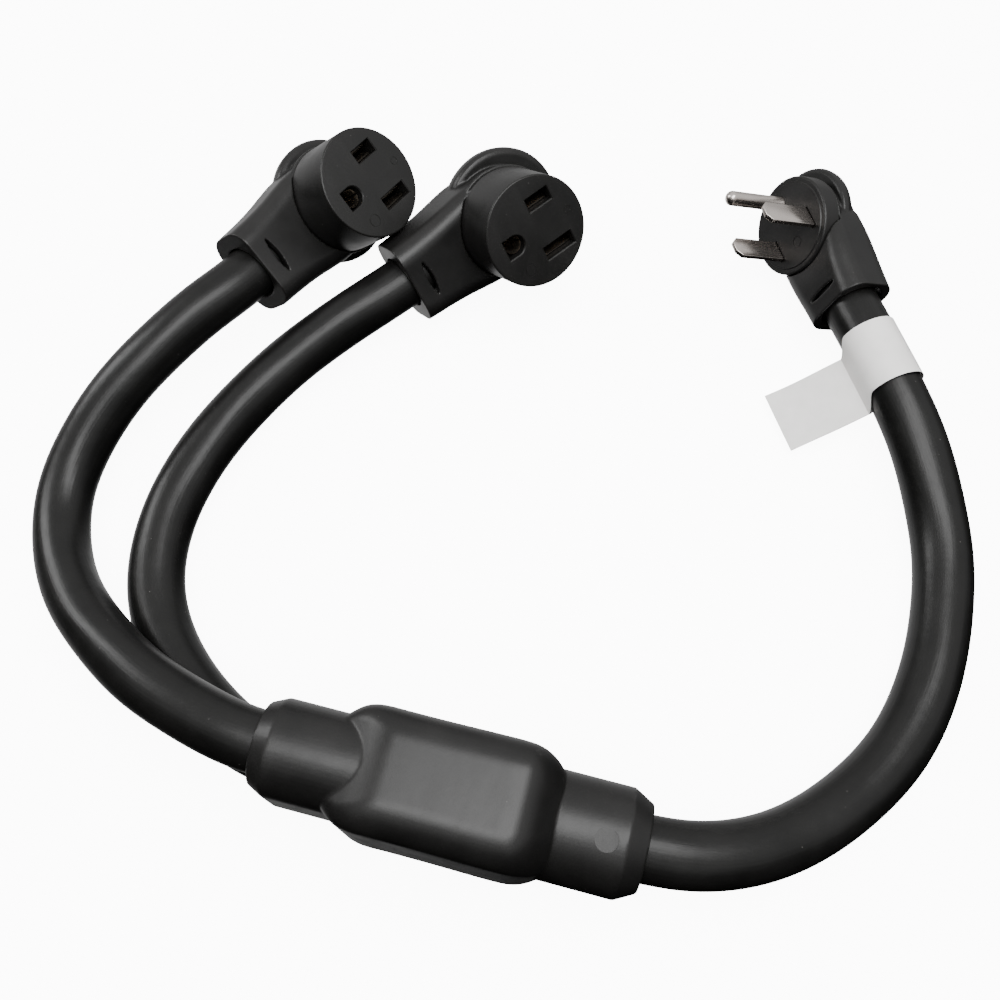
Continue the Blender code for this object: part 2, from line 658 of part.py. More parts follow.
def junction_body(builder, name):
    """One moulding: a collar for two stacked cables, a block with flat top and base, a collar."""
    axis = JUNCTION_AXIS_HEIGHT
    end = JUNCTION_HALF_LENGTH
    narrow = COLLAR_HALF_WIDTH - COLLAR_CHAMFER
    sections = [
        rounded_section(-end, narrow, axis - COLLAR_HALF_HEIGHT + COLLAR_CHAMFER,
                        axis + COLLAR_HALF_HEIGHT - COLLAR_CHAMFER, narrow),
    ]
    for x in (-end + COLLAR_CHAMFER_LENGTH, BODY_START):
        sections.append(rounded_section(x, COLLAR_HALF_WIDTH, axis - COLLAR_HALF_HEIGHT,
                                        axis + COLLAR_HALF_HEIGHT, COLLAR_HALF_WIDTH))
    body = (
        (-35.4, 17.2, 3.0, 58.4, 15.5), (-31.0, 19.4, 0.6, 60.4, 12.5), (-27.0, 20.2, 0.0, 61.0, 11.0),
        (-10.0, 20.4, 0.0, 61.0, 11.0), (21.0, 20.6, 0.0, 61.0, 11.0), (27.0, 19.9, 3.4, 58.0, 12.0),
        (31.5, 18.7, 9.6, 52.8, 15.5),
    )
    for station in body:
        sections.append(rounded_section(*(value * MM for value in station)))
    collar = TRUNK_COLLAR_RADIUS
    for x in (TRUNK_COLLAR_START, end - TRUNK_COLLAR_CHAMFER_LENGTH):
        sections.append(rounded_section(x, collar, axis - collar, axis + collar, collar - GAP))
    tip = collar - TRUNK_COLLAR_CHAMFER
    sections.append(rounded_section(end, tip, axis - tip, axis + tip, tip - GAP))
    junction = builder.part(name, loft_mesh(name, sections), "black_overmould")
    chamber_start, chamber_end = SPLICE_CHAMBER
    chamber = box_mesh(f"{name}_chamber",
                       (chamber_start, -SPLICE_CHAMBER_HALF_WIDTH, axis - SPLICE_CHAMBER_HALF_HEIGHT),
                       (chamber_end, SPLICE_CHAMBER_HALF_WIDTH, axis + SPLICE_CHAMBER_HALF_HEIGHT))
    combine(junction, builder.guide(chamber.name, chamber), "DIFFERENCE")
    past = 5 * MM
    bores = (
        ("limb_a_bore", -end - past, chamber_start + past, axis + LIMB_SPACING / 2),
        ("limb_b_bore", -end - past, chamber_start + past, axis - LIMB_SPACING / 2),
        ("trunk_bore", chamber_end - past, end + past, axis),
    )
    for bore_name, start, stop, height in bores:
        bore = cylinder_mesh(f"{name}_{bore_name}", BORE_RADIUS, Vector((start, 0, height)),
                             Vector((stop, 0, height)), SMALL_ROUND_STEPS)
        combine(junction, builder.guide(bore.name, bore), "DIFFERENCE")
    smooth(junction)


def junction_splices(builder):
    """Three crimps side by side, each joining one trunk lead to a lead from each limb."""
    axis = JUNCTION_AXIS_HEIGHT
    crimp_start = CRIMP_CENTRE_X - CRIMP_LENGTH / 2
    crimp_end = CRIMP_CENTRE_X + CRIMP_LENGTH / 2
    names = ("line_crimp_1", "line_crimp_2", "ground_crimp")
    for index, crimp_name in enumerate(names):
        across = LEAD_SIDES[index] * CRIMP_SPACING
        shape = rounded_section(crimp_start, CRIMP_HALF_WIDTH, -CRIMP_HALF_HEIGHT, CRIMP_HALF_HEIGHT,
                                CRIMP_HALF_WIDTH)
        far = [point + Vector((CRIMP_LENGTH, 0, 0)) for point in shape]
        crimp = builder.part(crimp_name, loft_mesh(crimp_name, [shape, far]), "copper_crimp")
        crimp.location = (0.0, across, axis)
        smooth(crimp)
        for limb, level in (("limb_a", 1), ("limb_b", -1)):
            bundle_y, bundle_z = bundle_position(index, flip=level)
            height = axis + level * LIMB_SPACING / 2 + bundle_z
            route = [
                (-JUNCTION_HALF_LENGTH + GAP, bundle_y, height), (-42.0 * MM, bundle_y, height),
                (-34.0 * MM, bundle_y, height),
                (crimp_start - 4.0 * MM, across, axis + level * CRIMP_LEAD_HEIGHT),
                (crimp_start - GAP, across, axis + level * CRIMP_LEAD_HEIGHT),
            ]
            lead(builder, f"junction_{limb}_{LEAD_NAMES[index]}", route, (1, 0, 0), (1, 0, 0),
                 LEAD_MATERIALS[index])
        bundle_y, bundle_z = bundle_position(index)
        route = [
            (crimp_end + GAP, across, axis), (crimp_end + 3.0 * MM, across, axis),
            (23.0 * MM, bundle_y, axis + bundle_z), (31.0 * MM, bundle_y, axis + bundle_z),
            (JUNCTION_HALF_LENGTH - GAP, bundle_y, axis + bundle_z),
        ]
        lead(builder, f"junction_trunk_{LEAD_NAMES[index]}", route, (1, 0, 0), (1, 0, 0),
             LEAD_MATERIALS[index])


# ---------------------------------------------------------------- cables and label


def cable(builder, name, radius, start, start_direction, middle, end, end_direction):
    """A jacket from one moulding to the next, leaving each straight and square to its face."""
    knots = [start + start_direction * GAP, *(Vector(point) * MM for point in middle),
             end - end_direction * GAP]
    points = routed(knots, start_direction, end_direction, CABLE_STUB, CABLE_STEP)
    tube(builder, name, points, radius, CABLE_BEVEL_RESOLUTION, "black_cable_jacket")


def cable_label(builder, name):
    """A strip wrapped round the trunk cable with its two ends stuck together as a flag."""
    centre = Vector(TRUNK_ROUTE[LABEL_KNOT]) * MM
    nearer, farther = Vector(TRUNK_ROUTE[LABEL_KNOT + 1]), Vector(TRUNK_ROUTE[LABEL_KNOT - 1])
    direction = (farther - nearer).normalized()
    inner = TRUNK_RADIUS + LABEL_CLEARANCE
    outer = inner + LABEL_THICKNESS
    half = LABEL_WIDTH / 2
    sideways = direction.cross(Vector((0, 0, 1))).normalized()
    upward = sideways.cross(direction)
    flag = sideways * math.cos(LABEL_DROOP) - upward * math.sin(LABEL_DROOP)
    across = direction.cross(flag)
    frame = bpy.data.objects.new(f"{name}_frame", None)
    frame.location = centre
    frame.rotation_euler = Matrix((flag, across, direction)).transposed().to_euler()
    builder.parts.objects.link(frame)
    flag_box = box_mesh(name, (inner + LABEL_THICKNESS / 2, -LABEL_THICKNESS / 2, -half),
                        (LABEL_REACH, LABEL_THICKNESS / 2, half))
    label = builder.part(name, flag_box, "white_label", frame)
    ring = [(outer, half), (outer, -half), (inner, -half), (inner, half)]
    band = builder.guide(f"{name}_band", profile_mesh(f"{name}_band", ring, closed=True), frame)
    turn(band, SMALL_ROUND_STEPS)
    combine(label, band, "UNION")


def main():
    clear_scene()
    builder = Builder()
    axis = JUNCTION_AXIS_HEIGHT
    junction_body(builder, "junction_body")
    junction_splices(builder)
    receptacle_end = Vector((RECEPTACLE_NECK_END, 0.0, RECEPTACLE_AXIS))
    plug_end = Vector((PLUG_NECK_END, 0.0, PLUG_AXIS))
    limb_collar = Vector((-JUNCTION_HALF_LENGTH, 0.0, axis))
    rise = Vector((0.0, 0.0, LIMB_SPACING / 2))
    along_x = Vector((1.0, 0.0, 0.0))
    limbs = (
        ("a", RECEPTACLE_A_PLACE, LIMB_A_ROUTE, limb_collar + rise),
        ("b", RECEPTACLE_B_PLACE, LIMB_B_ROUTE, limb_collar - rise),
    )
    for letter, place, route, collar in limbs:
        pose = receptacle(builder, f"receptacle_{letter}", place).matrix_basis
        neck_direction = (pose.to_3x3() @ Vector((1, 0, 0))).normalized()
        cable(builder, f"limb_{letter}_cable", LIMB_RADIUS, pose @ receptacle_end, neck_direction,
              route, collar, along_x)
    pose = plug(builder, "plug", PLUG_PLACE).matrix_basis
    neck_direction = (pose.to_3x3() @ Vector((1, 0, 0))).normalized()
    trunk_exit = Vector((JUNCTION_HALF_LENGTH, 0.0, axis))
    cable(builder, "trunk_cable", TRUNK_RADIUS, trunk_exit, along_x, TRUNK_ROUTE,
          pose @ plug_end, -neck_direction)
    cable_label(builder, "cable_label")


main()
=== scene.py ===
import math

import bmesh
import bpy
import numpy as np
from mathutils import Euler, Matrix, Vector


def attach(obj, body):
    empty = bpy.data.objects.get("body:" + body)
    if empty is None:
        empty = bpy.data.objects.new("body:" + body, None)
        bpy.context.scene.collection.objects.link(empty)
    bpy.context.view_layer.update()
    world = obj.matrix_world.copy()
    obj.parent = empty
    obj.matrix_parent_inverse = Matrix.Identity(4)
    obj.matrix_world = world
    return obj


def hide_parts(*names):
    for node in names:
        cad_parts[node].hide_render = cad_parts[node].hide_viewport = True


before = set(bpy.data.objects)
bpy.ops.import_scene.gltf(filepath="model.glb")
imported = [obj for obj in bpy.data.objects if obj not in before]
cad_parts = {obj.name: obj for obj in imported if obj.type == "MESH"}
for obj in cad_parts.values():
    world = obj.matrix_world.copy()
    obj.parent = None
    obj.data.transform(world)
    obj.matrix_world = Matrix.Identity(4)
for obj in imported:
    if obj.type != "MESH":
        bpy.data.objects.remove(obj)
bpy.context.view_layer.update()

MM = 0.001

# ---------------------------------------------------------------- sizes shared with the CAD model

TRUNK_RADIUS = 11.0 * MM
LIMB_RADIUS = 10.5 * MM
CABLE_STUB = 5.0 * MM
GAP = 0.3 * MM

JUNCTION_HALF_LENGTH = 64.0 * MM
JUNCTION_AXIS_HEIGHT = 31.5 * MM
LIMB_SPACING = 21.4 * MM

LINE_OFFSET = 10.5 * MM
SLOT_X = -6.4 * MM
SLOT_WIDTH = 5.5 * MM
SLOT_LENGTHS = {-1: 10.5 * MM, 1: 13.5 * MM}
GROUND_HOLE_APEX = 6.2 * MM
GROUND_HOLE_FLAT = 14.7 * MM
GROUND_HOLE_RADIUS = 4.15 * MM
DRUM_RADIUS = 21.9 * MM
DRUM_DEPTH = 24.5 * MM
RECEPTACLE_NECK_END = 48.5 * MM
RECEPTACLE_AXIS = -35.4 * MM

DISC_RADIUS = 20.1 * MM
DISC_DEPTH = 8.0 * MM
BLADE_X = 5.0 * MM
BLADE_WIDTH = 9.4 * MM
BLADE_THICKNESS = 1.9 * MM
BLADE_LENGTH = 24.0 * MM
BLADE_CHAMFER = 2.4 * MM
PIN_X = -11.7 * MM
PIN_RADIUS = 3.0 * MM
PIN_LENGTH = 28.0 * MM
PLUG_NECK_END = 42.0 * MM
PLUG_AXIS = -13.0 * MM

RECEPTACLE_A_PLACE = ((-93.7, 219.3, 49.24), (-40.6, -9.2, -110.1))
RECEPTACLE_B_PLACE = ((-24.75, 215.6, 45.22), (-52.2, 4.8, -127.9))
PLUG_PLACE = ((73.5, 258.7, 25.98), (65.0, -2.9, -60.9))

LIMB_A_ROUTE = [
    (-146.9, 154.2, 32.5), (-156.4, 137.1, 30.0), (-166.0, 120.5, 25.4), (-171.0, 110.1, 21.8),
    (-176.1, 93.0, 15.8), (-177.3, 79.8, 12.8), (-169.7, 55.9, 13.0), (-156.4, 39.0, 18.5),
    (-139.6, 26.1, 26.0), (-127.8, 19.1, 31.0), (-110.4, 10.5, 36.8), (-94.9, 5.4, 40.0),
    (-79.8, 1.7, 41.9),
]
LIMB_B_ROUTE = [
    (-93.5, 174.8, 17.6), (-102.0, 164.4, 15.5), (-110.9, 152.5, 13.2), (-126.2, 123.4, 10.9),
    (-132.3, 103.3, 10.7), (-135.4, 78.8, 10.7), (-132.9, 58.8, 10.7), (-129.2, 47.8, 10.8),
    (-121.2, 34.6, 11.6), (-107.0, 20.6, 14.4), (-90.6, 9.2, 18.0), (-78.0, 2.6, 20.2),
]
TRUNK_ROUTE = [
    (82.1, 1.8, 29.8), (97.9, 7.8, 26.0), (106.4, 13.0, 22.8), (132.4, 36.8, 14.2),
    (146.8, 60.0, 11.6), (153.9, 84.1, 11.2), (155.2, 123.2, 11.2), (153.8, 135.6, 11.6),
    (150.6, 146.8, 12.8), (146.0, 158.4, 15.2), (140.5, 169.6, 18.2), (133.6, 181.6, 21.2),
    (124.9, 194.6, 23.6), (118.2, 205.0, 24.0), (111.6, 215.5, 23.5),
]
LABEL_KNOT = 13

# ---------------------------------------------------------------- sizes of the finer pieces

ROUND_STEPS = 128
FINE_STEPS = 160
HOLE_STEPS = 96
MARK_STEPS = 64
PRONG_ROOT = -9.5 * MM
ABOVE_FACE = 40 * MM

VOXELS = {"receptacle": 0.40 * MM, "plug": 0.36 * MM, "junction": 0.52 * MM}
SOFTENING_PASSES = 2
PULL_IN = 0.5
PUSH_OUT = 0.265
WEAR_START = 0.03
WEAR_SPAN = 0.12

JACKET_RINGS = 280
JACKET_STEPS = 72
RELAXING_PASSES = 140
CONDUCTORS = 3
LAY_LENGTH = 0.16
LAY_SHARE = 0.009
SLOW_SHARE = 0.003
SLOW_WAVES = ((61.0, 2.0), (143.0, -1.0))


# ---------------------------------------------------------------- mesh helpers


def in_mm(points):
    return [(first * MM, second * MM) for first, second in points]


def place_matrix(place):
    location, turns = place
    turn = Euler([math.radians(angle) for angle in turns], "XYZ").to_matrix().to_4x4()
    return Matrix.Translation(Vector(location) * MM) @ turn


def add_object(name, data):
    obj = bpy.data.objects.new(name, data)
    bpy.context.scene.collection.objects.link(obj)
    return obj


def add_aimed(name, data, location, aim):
    """A camera or light that looks from its place towards a point."""
    obj = add_object(name, data)
    obj.location = location
    obj.rotation_euler = (Vector(aim) - Vector(location)).to_track_quat("-Z", "Y").to_euler()
    return obj


def to_mesh(bm, name):
    bmesh.ops.recalc_face_normals(bm, faces=bm.faces)
    mesh = bpy.data.meshes.new(name)
    bm.to_mesh(mesh)
    bm.free()
    return mesh


def box(low, high):
    bm = bmesh.new()
    bmesh.ops.create_cube(bm, size=1.0)
    low = Vector(low)
    high = Vector(high)
    bmesh.ops.scale(bm, vec=high - low, verts=bm.verts)
    bmesh.ops.translate(bm, vec=(low + high) / 2, verts=bm.verts)
    return to_mesh(bm, "box")


def cylinder(radius, start, end, steps=ROUND_STEPS, end_radius=None):
    start = Vector(start)
    end = Vector(end)
    bm = bmesh.new()
    bmesh.ops.create_cone(bm, cap_ends=True, segments=steps, radius1=radius,
                          radius2=radius if end_radius is None else end_radius,
                          depth=(end - start).length)
    turn = (end - start).to_track_quat("Z", "Y").to_matrix().to_4x4()
    bmesh.ops.transform(bm, matrix=Matrix.Translation((start + end) / 2) @ turn, verts=bm.verts)
    return to_mesh(bm, "cylinder")


def turned(profile, steps=ROUND_STEPS, centre_x=0.0):
    """A closed solid of revolution about Z from (radius, height) points, ends on the axis."""
    bm = bmesh.new()
    rings = []
    for radius, height in profile:
        if radius < 1e-7:
            rings.append([bm.verts.new((centre_x, 0.0, height))])
            continue
        ring = []
        for step in range(steps):
            angle = 2 * math.pi * step / steps
            ring.append(bm.verts.new((centre_x + radius * math.cos(angle),
                                      radius * math.sin(angle), height)))
        rings.append(ring)
    for ring, after in zip(rings, rings[1:]):
        for step in range(steps):
            follow = (step + 1) % steps
            if len(ring) == 1:
                bm.faces.new((ring[0], after[step], after[follow]))
            elif len(after) == 1:
                bm.faces.new((ring[step], after[0], ring[follow]))
            else:
                bm.faces.new((ring[step], after[step], after[follow], ring[follow]))
    return to_mesh(bm, "turned")


def bridge(bm, rings, closed=True):
    """Faces between each row of points and the next, one row after another."""
    faces = []
    count = len(rings[0])
    for ring, following in zip(rings, rings[1:]):
        for index in range(count if closed else count - 1):
            after = (index + 1) % count
            corners = (ring[index], ring[after], following[after], following[index])
            faces.append(bm.faces.new(corners))
    return faces


def skinned(sections):
    """A bmesh skinned over rings of points and closed at both ends."""
    bm = bmesh.new()
    rings = [[bm.verts.new(point) for point in ring] for ring in sections]
    bridge(bm, rings)
    bm.faces.new(rings[0])
    bm.faces.new(rings[-1])
    return bm


def loft(sections):
    bm = skinned(sections)
    bmesh.ops.remove_doubles(bm, verts=bm.verts, dist=1e-6)
    return to_mesh(bm, "loft")


def prism(outline, low, high, axis="Z"):
    """A flat outline of 2-D points pushed through from low to high along an axis."""
    place = "XYZ".index(axis)
    return loft([[(*point[:place], level, *point[place:]) for point in outline]
                 for level in (low, high)])


def lens(centre_x, half_length, half_width):
    """A slot along Y with pointed ends, bowed on both sides."""
    steps = 20
    points = []
    for side in (1, -1):
        for step in range(steps):
            t = -1 + 2 * step / steps
            points.append((centre_x - side * half_width * (1 - t * t), side * t * half_length))
    return points


def section(x, half_width, low, high, corner):
    """Points round a rounded rectangle across X, evenly spread along its flats and corners."""
    corner_steps = 14
    edge_steps = 8
    points = []
    for quarter, (side, level) in enumerate(((1, 1), (-1, 1), (-1, -1), (1, -1))):
        centre_y = side * (half_width - corner)
        centre_z = high - corner if level > 0 else low + corner
        for step in range(corner_steps + 1):
            angle = math.pi / 2 * (quarter + step / corner_steps)
            points.append(Vector((x, centre_y + corner * math.cos(angle),
                                  centre_z + corner * math.sin(angle))))
    full = []
    block = corner_steps + 1
    for quarter in range(4):
        full += points[quarter * block:(quarter + 1) * block]
        start = full[-1]
        end = points[((quarter + 1) * block) % len(points)]
        for step in range(1, edge_steps):
            full.append(start.lerp(end, step / edge_steps))
    return full


def between(stations, count):
    """Stations filled in smoothly: a Catmull-Rom curve through each of their numbers."""
    filled = []
    last = len(stations) - 1
    for index in range(last):
        before = stations[max(index - 1, 0)]
        here = stations[index]
        after = stations[index + 1]
        beyond = stations[min(index + 2, last)]
        for step in range(count):
            t = step / count
            row = []
            for a, b, c, d in zip(before, here, after, beyond):
                row.append(0.5 * (2 * b + (c - a) * t + (2 * a - 5 * b + 4 * c - d) * t * t
                                  + (3 * b - a - 3 * c + d) * t ** 3))
            filled.append(row)
    return filled + [stations[-1]]


def station_loft(stations, legs):
    """A loft through stations of x, half width, low, high and corner radius in millimetres."""
    return loft([section(*(value * MM for value in row)) for row in between(stations, legs)])


def evaluated_mesh(obj):
    """The object's mesh with its modifiers applied."""
    graph = bpy.context.evaluated_depsgraph_get()
    return bpy.data.meshes.new_from_object(obj.evaluated_get(graph))


def numbers(collection, attribute, width, kind=float):
    """One of a mesh's lists as an array, with a row for each of its elements."""
    values = np.empty(len(collection) * width, dtype=kind)
    collection.foreach_get(attribute, values)
    return values.reshape(-1, width)


def discard(obj):
    mesh = obj.data
    bpy.data.objects.remove(obj)
    bpy.data.meshes.remove(mesh)


def fused(name, solids, cuts=()):
    """One mesh: the solids joined, then the cuts taken away."""
    base = add_object(name, solids[0])
    tools = []
    for operation, meshes in (("UNION", solids[1:]), ("DIFFERENCE", cuts)):
        for mesh in meshes:
            tool = add_object("tool", mesh)
            tools.append(tool)
            modifier = base.modifiers.new(operation, "BOOLEAN")
            modifier.operation = operation
            modifier.solver = "EXACT"
            modifier.object = tool
    result = evaluated_mesh(base)
    result.name = name
    for obj in [base, *tools]:
        discard(obj)
    return result


def softened(name, mesh, voxel):
    """Remeshes a solid evenly and relaxes it, so that its edges and inner corners are rounded.
    Stores how exposed each point is, for the wear in the material."""
    obj = add_object(name, mesh)
    modifier = obj.modifiers.new("even", "REMESH")
    modifier.mode = "VOXEL"
    modifier.voxel_size = voxel
    result = evaluated_mesh(obj)
    discard(obj)
    result.name = name
    count = len(result.vertices)
    points = numbers(result.vertices, "co", 3)
    edges = numbers(result.edges, "vertices", 2, np.int64)
    degree = np.bincount(edges.ravel(), minlength=count)[:, None]

    def mean_of_neighbours(values):
        total = np.zeros_like(values)
        for column in range(values.shape[1]):
            total[:, column] = (
                np.bincount(edges[:, 0], weights=values[edges[:, 1], column], minlength=count)
                + np.bincount(edges[:, 1], weights=values[edges[:, 0], column], minlength=count))
        return total / degree

    for _ in range(SOFTENING_PASSES):
        points = points + PULL_IN * (mean_of_neighbours(points) - points)
        points = points - PUSH_OUT * (mean_of_neighbours(points) - points)
    result.vertices.foreach_set("co", points.ravel())
    result.update()
    normals = numbers(result.vertex_normals, "vector", 3)
    bulge = -((mean_of_neighbours(points) - points) * normals).sum(axis=1)[:, None]
    for _ in range(3):
        bulge = mean_of_neighbours(bulge)
    worn = np.clip((bulge[:, 0] / voxel - WEAR_START) / WEAR_SPAN, 0.0, 1.0)
    layer = result.attributes.new("wear", "FLOAT", "POINT")
    layer.data.foreach_set("value", worn.astype(np.float32))
    result.shade_smooth()
    return result


def crisp(mesh, angle=32.0):
    mesh.shade_smooth()
    mesh.set_sharp_from_angle(angle=math.radians(angle))
    return mesh


# ---------------------------------------------------------------- materials


class NodeTree:
    """The nodes of a material or world, built up one at a time."""

    def __init__(self, owner):
        owner.use_nodes = True
        self.nodes = owner.node_tree.nodes
        self.links = owner.node_tree.links

    def node(self, kind, **values):
        node = self.nodes.new(kind)
        for key, value in values.items():
            setattr(node, key, value)
        return node

    def spread(self, value, low, high, out_low=0.0, out_high=1.0, curve="LINEAR"):
        node = self.node("ShaderNodeMapRange", interpolation_type=curve)
        for socket, number in zip(node.inputs[1:5], (low, high, out_low, out_high)):
            socket.default_value = number
        self.links.new(value, node.inputs["Value"])
        return node.outputs["Result"]

    def math(self, operation, first, second):
        node = self.node("ShaderNodeMath", operation=operation)
        for socket, value in zip(node.inputs, (first, second)):
            if isinstance(value, (int, float)):
                socket.default_value = value
            else:
                self.links.new(value, socket)
        return node.outputs["Value"]


class Look(NodeTree):
    """A Principled material."""

    def __init__(self, name, colour, roughness, metallic=0.0):
        self.material = bpy.data.materials.new(name)
        super().__init__(self.material)
        self.shader = self.nodes["Principled BSDF"]
        self.shader.inputs["Base Color"].default_value = (*colour, 1.0)
        self.shader.inputs["Roughness"].default_value = roughness
        self.shader.inputs["Metallic"].default_value = metallic

    def coordinates(self, stretch=(1, 1, 1), source="local"):
        """A texture's position: in the piece's own frame, along a cable (UV) or by the object."""
        mapping = self.node("ShaderNodeMapping")
        mapping.inputs["Scale"].default_value = stretch
        if source == "local":
            attribute = self.node("ShaderNodeAttribute", attribute_name="local")
            self.links.new(attribute.outputs["Vector"], mapping.inputs["Vector"])
        else:
            texture = self.node("ShaderNodeTexCoord")
            self.links.new(texture.outputs[source], mapping.inputs["Vector"])
        return mapping.outputs["Vector"]

    def noise(self, vector, scale, detail=3.0, roughness=0.5):
        node = self.node("ShaderNodeTexNoise")
        node.inputs["Scale"].default_value = scale
        node.inputs["Detail"].default_value = detail
        node.inputs["Roughness"].default_value = roughness
        self.links.new(vector, node.inputs["Vector"])
        return node.outputs["Fac"]

    def mix(self, factor, first, second):
        node = self.node("ShaderNodeMix", data_type="RGBA")
        self.links.new(factor, node.inputs[0])
        for socket, value in zip(node.inputs[6:8], (first, second)):
            if isinstance(value, tuple):
                socket.default_value = (*value, 1.0)
            else:
                self.links.new(value, socket)
        return node.outputs[2]

    def specks(self, vector, scale, size, share):
        """Sparse round dots: a share of the cells of a Voronoi pattern hold one each."""
        node = self.node("ShaderNodeTexVoronoi")
        node.inputs["Scale"].default_value = scale
        self.links.new(vector, node.inputs["Vector"])
        dot = self.spread(node.outputs["Distance"], size, 0.4 * size)
        chosen = self.math("GREATER_THAN", self.channel(node.outputs["Color"]), 1.0 - share)
        return self.math("MULTIPLY", dot, chosen)

    def dusted(self, base, specks, strength, dust):
        """The base colour with a share of the dust's colour where its specks lie."""
        return self.mix(self.math("MULTIPLY", specks, strength), base, dust)

    def channel(self, colour):
        node = self.node("ShaderNodeSeparateColor")
        self.links.new(colour, node.inputs["Color"])
        return node.outputs["Red"]

    def bump(self, height, distance, strength, under=None):
        node = self.node("ShaderNodeBump")
        node.inputs["Distance"].default_value = distance
        node.inputs["Strength"].default_value = strength
        self.links.new(height, node.inputs["Height"])
        if under is not None:
            self.links.new(under, node.inputs["Normal"])
        return node.outputs["Normal"]

    def into(self, value, socket):
        self.links.new(value, self.shader.inputs[socket])


def moulded_look():
    """Flexible moulded plastic: fine spark-eroded grain, soft blotches, dust and rubbed edges."""
    colour = (0.0064, 0.0062, 0.0060)
    worn = (0.024, 0.0235, 0.023)
    roughness = 0.36
    look = Look("moulded_vinyl", colour, roughness)
    space = look.coordinates()
    blotch = look.noise(space, 70.0, 4.0, 0.55)
    grain = look.noise(space, 2400.0, 2.0, 0.6)
    smears = look.noise(look.coordinates((1.0, 0.35, 0.6)), 210.0, 5.0, 0.65)
    rough = look.math("ADD", look.spread(blotch, 0.3, 0.7, roughness - 0.02, roughness + 0.03),
                      look.spread(smears, 0.45, 0.75, -0.01, 0.04))
    wear_node = look.node("ShaderNodeAttribute", attribute_name="wear")
    rubbed = look.math("MULTIPLY", wear_node.outputs["Fac"],
                       look.spread(look.noise(space, 380.0, 3.0), 0.35, 0.65, 0.35, 1.0))
    rough = look.math("SUBTRACT", rough, look.math("MULTIPLY", rubbed, 0.10))
    look.into(rough, "Roughness")
    lighter = tuple(1.55 * channel for channel in colour)
    base = look.mix(look.spread(blotch, 0.35, 0.7), colour, lighter)
    base = look.mix(look.math("MULTIPLY", rubbed, 0.55), base, worn)
    dust = look.specks(space, 330.0, 0.045, 0.16)
    look.into(look.dusted(base, dust, 0.7, (0.22, 0.21, 0.2)), "Base Color")
    fine = look.bump(grain, 0.00004, 0.5)
    look.into(look.bump(look.noise(space, 240.0, 3.0), 0.00008, 0.3, fine), "Normal")
    return look.material


def jacket_look():
    """Extruded cable jacket: glossy, with fine lines along it, light scuffs and dust."""
    colour = (0.0044, 0.0043, 0.0041)
    look = Look("cable_jacket_vinyl", colour, 0.31)
    look.shader.inputs["Specular IOR Level"].default_value = 0.38
    flow = look.coordinates((22.0, 900.0, 1.0), "UV")
    space = look.coordinates()
    lines = look.noise(flow, 1.0, 4.0, 0.6)
    blotch = look.noise(space, 55.0, 4.0, 0.6)
    scuffs = look.noise(look.coordinates((160.0, 620.0, 1.0), "UV"), 1.0, 5.0, 0.7)
    rough = look.math("ADD", look.spread(blotch, 0.3, 0.7, 0.29, 0.34),
                      look.spread(scuffs, 0.52, 0.78, 0.0, 0.1))
    look.into(rough, "Roughness")
    base = look.mix(look.spread(blotch, 0.35, 0.7), colour, (0.0072, 0.0070, 0.0067))
    dust = look.specks(space, 300.0, 0.05, 0.2)
    look.into(look.dusted(base, dust, 0.75, (0.26, 0.25, 0.24)), "Base Color")
    grain = look.bump(look.noise(space, 1900.0, 2.0), 0.00002, 0.3)
    ripple = look.bump(look.noise(space, 90.0, 3.0), 0.0006, 0.28, grain)
    look.into(look.bump(lines, 0.00013, 0.5, ripple), "Normal")
    return look.material


def face_look():
    """Hard smooth thermoplastic, a little glossier than the mouldings round it."""
    colour = (0.0062, 0.0060, 0.0057)
    look = Look("face_thermoplastic", colour, 0.33)
    space = look.coordinates()
    flow = look.noise(look.coordinates((1.0, 0.3, 1.0)), 90.0, 5.0, 0.6)
    look.into(look.spread(flow, 0.3, 0.75, 0.30, 0.46), "Roughness")
    base = look.mix(look.spread(flow, 0.35, 0.75), colour, (0.0092, 0.0088, 0.0085))
    dust = look.specks(space, 360.0, 0.05, 0.22)
    look.into(look.dusted(base, dust, 0.7, (0.24, 0.23, 0.22)), "Base Color")
    fine = look.bump(look.noise(space, 3000.0, 2.0), 0.00002, 0.3)
    look.into(look.bump(look.noise(space, 260.0, 2.0), 0.00006, 0.2, fine), "Normal")
    return look.material


def metal_look(name, colour, dull, roughness, stretch, dull_share=0.5, source="local"):
    """Plated or bare metal with brushing along one direction and dull patches."""
    look = Look(name, colour, roughness, 1.0)
    brushing = look.noise(look.coordinates(stretch, source), 1.0, 4.0, 0.6)
    patches = look.noise(look.coordinates(source=source), 160.0, 5.0, 0.65)
    rough = look.math("ADD", look.spread(brushing, 0.3, 0.7, roughness - 0.05, roughness + 0.08),
                      look.spread(patches, 0.45, 0.75, 0.0, 0.12))
    look.into(rough, "Roughness")
    share = look.math("MULTIPLY", look.spread(patches, 0.42, 0.78), dull_share)
    look.into(look.mix(share, colour, dull), "Base Color")
    look.into(look.bump(brushing, 0.00003, 0.35), "Normal")
    return look.material


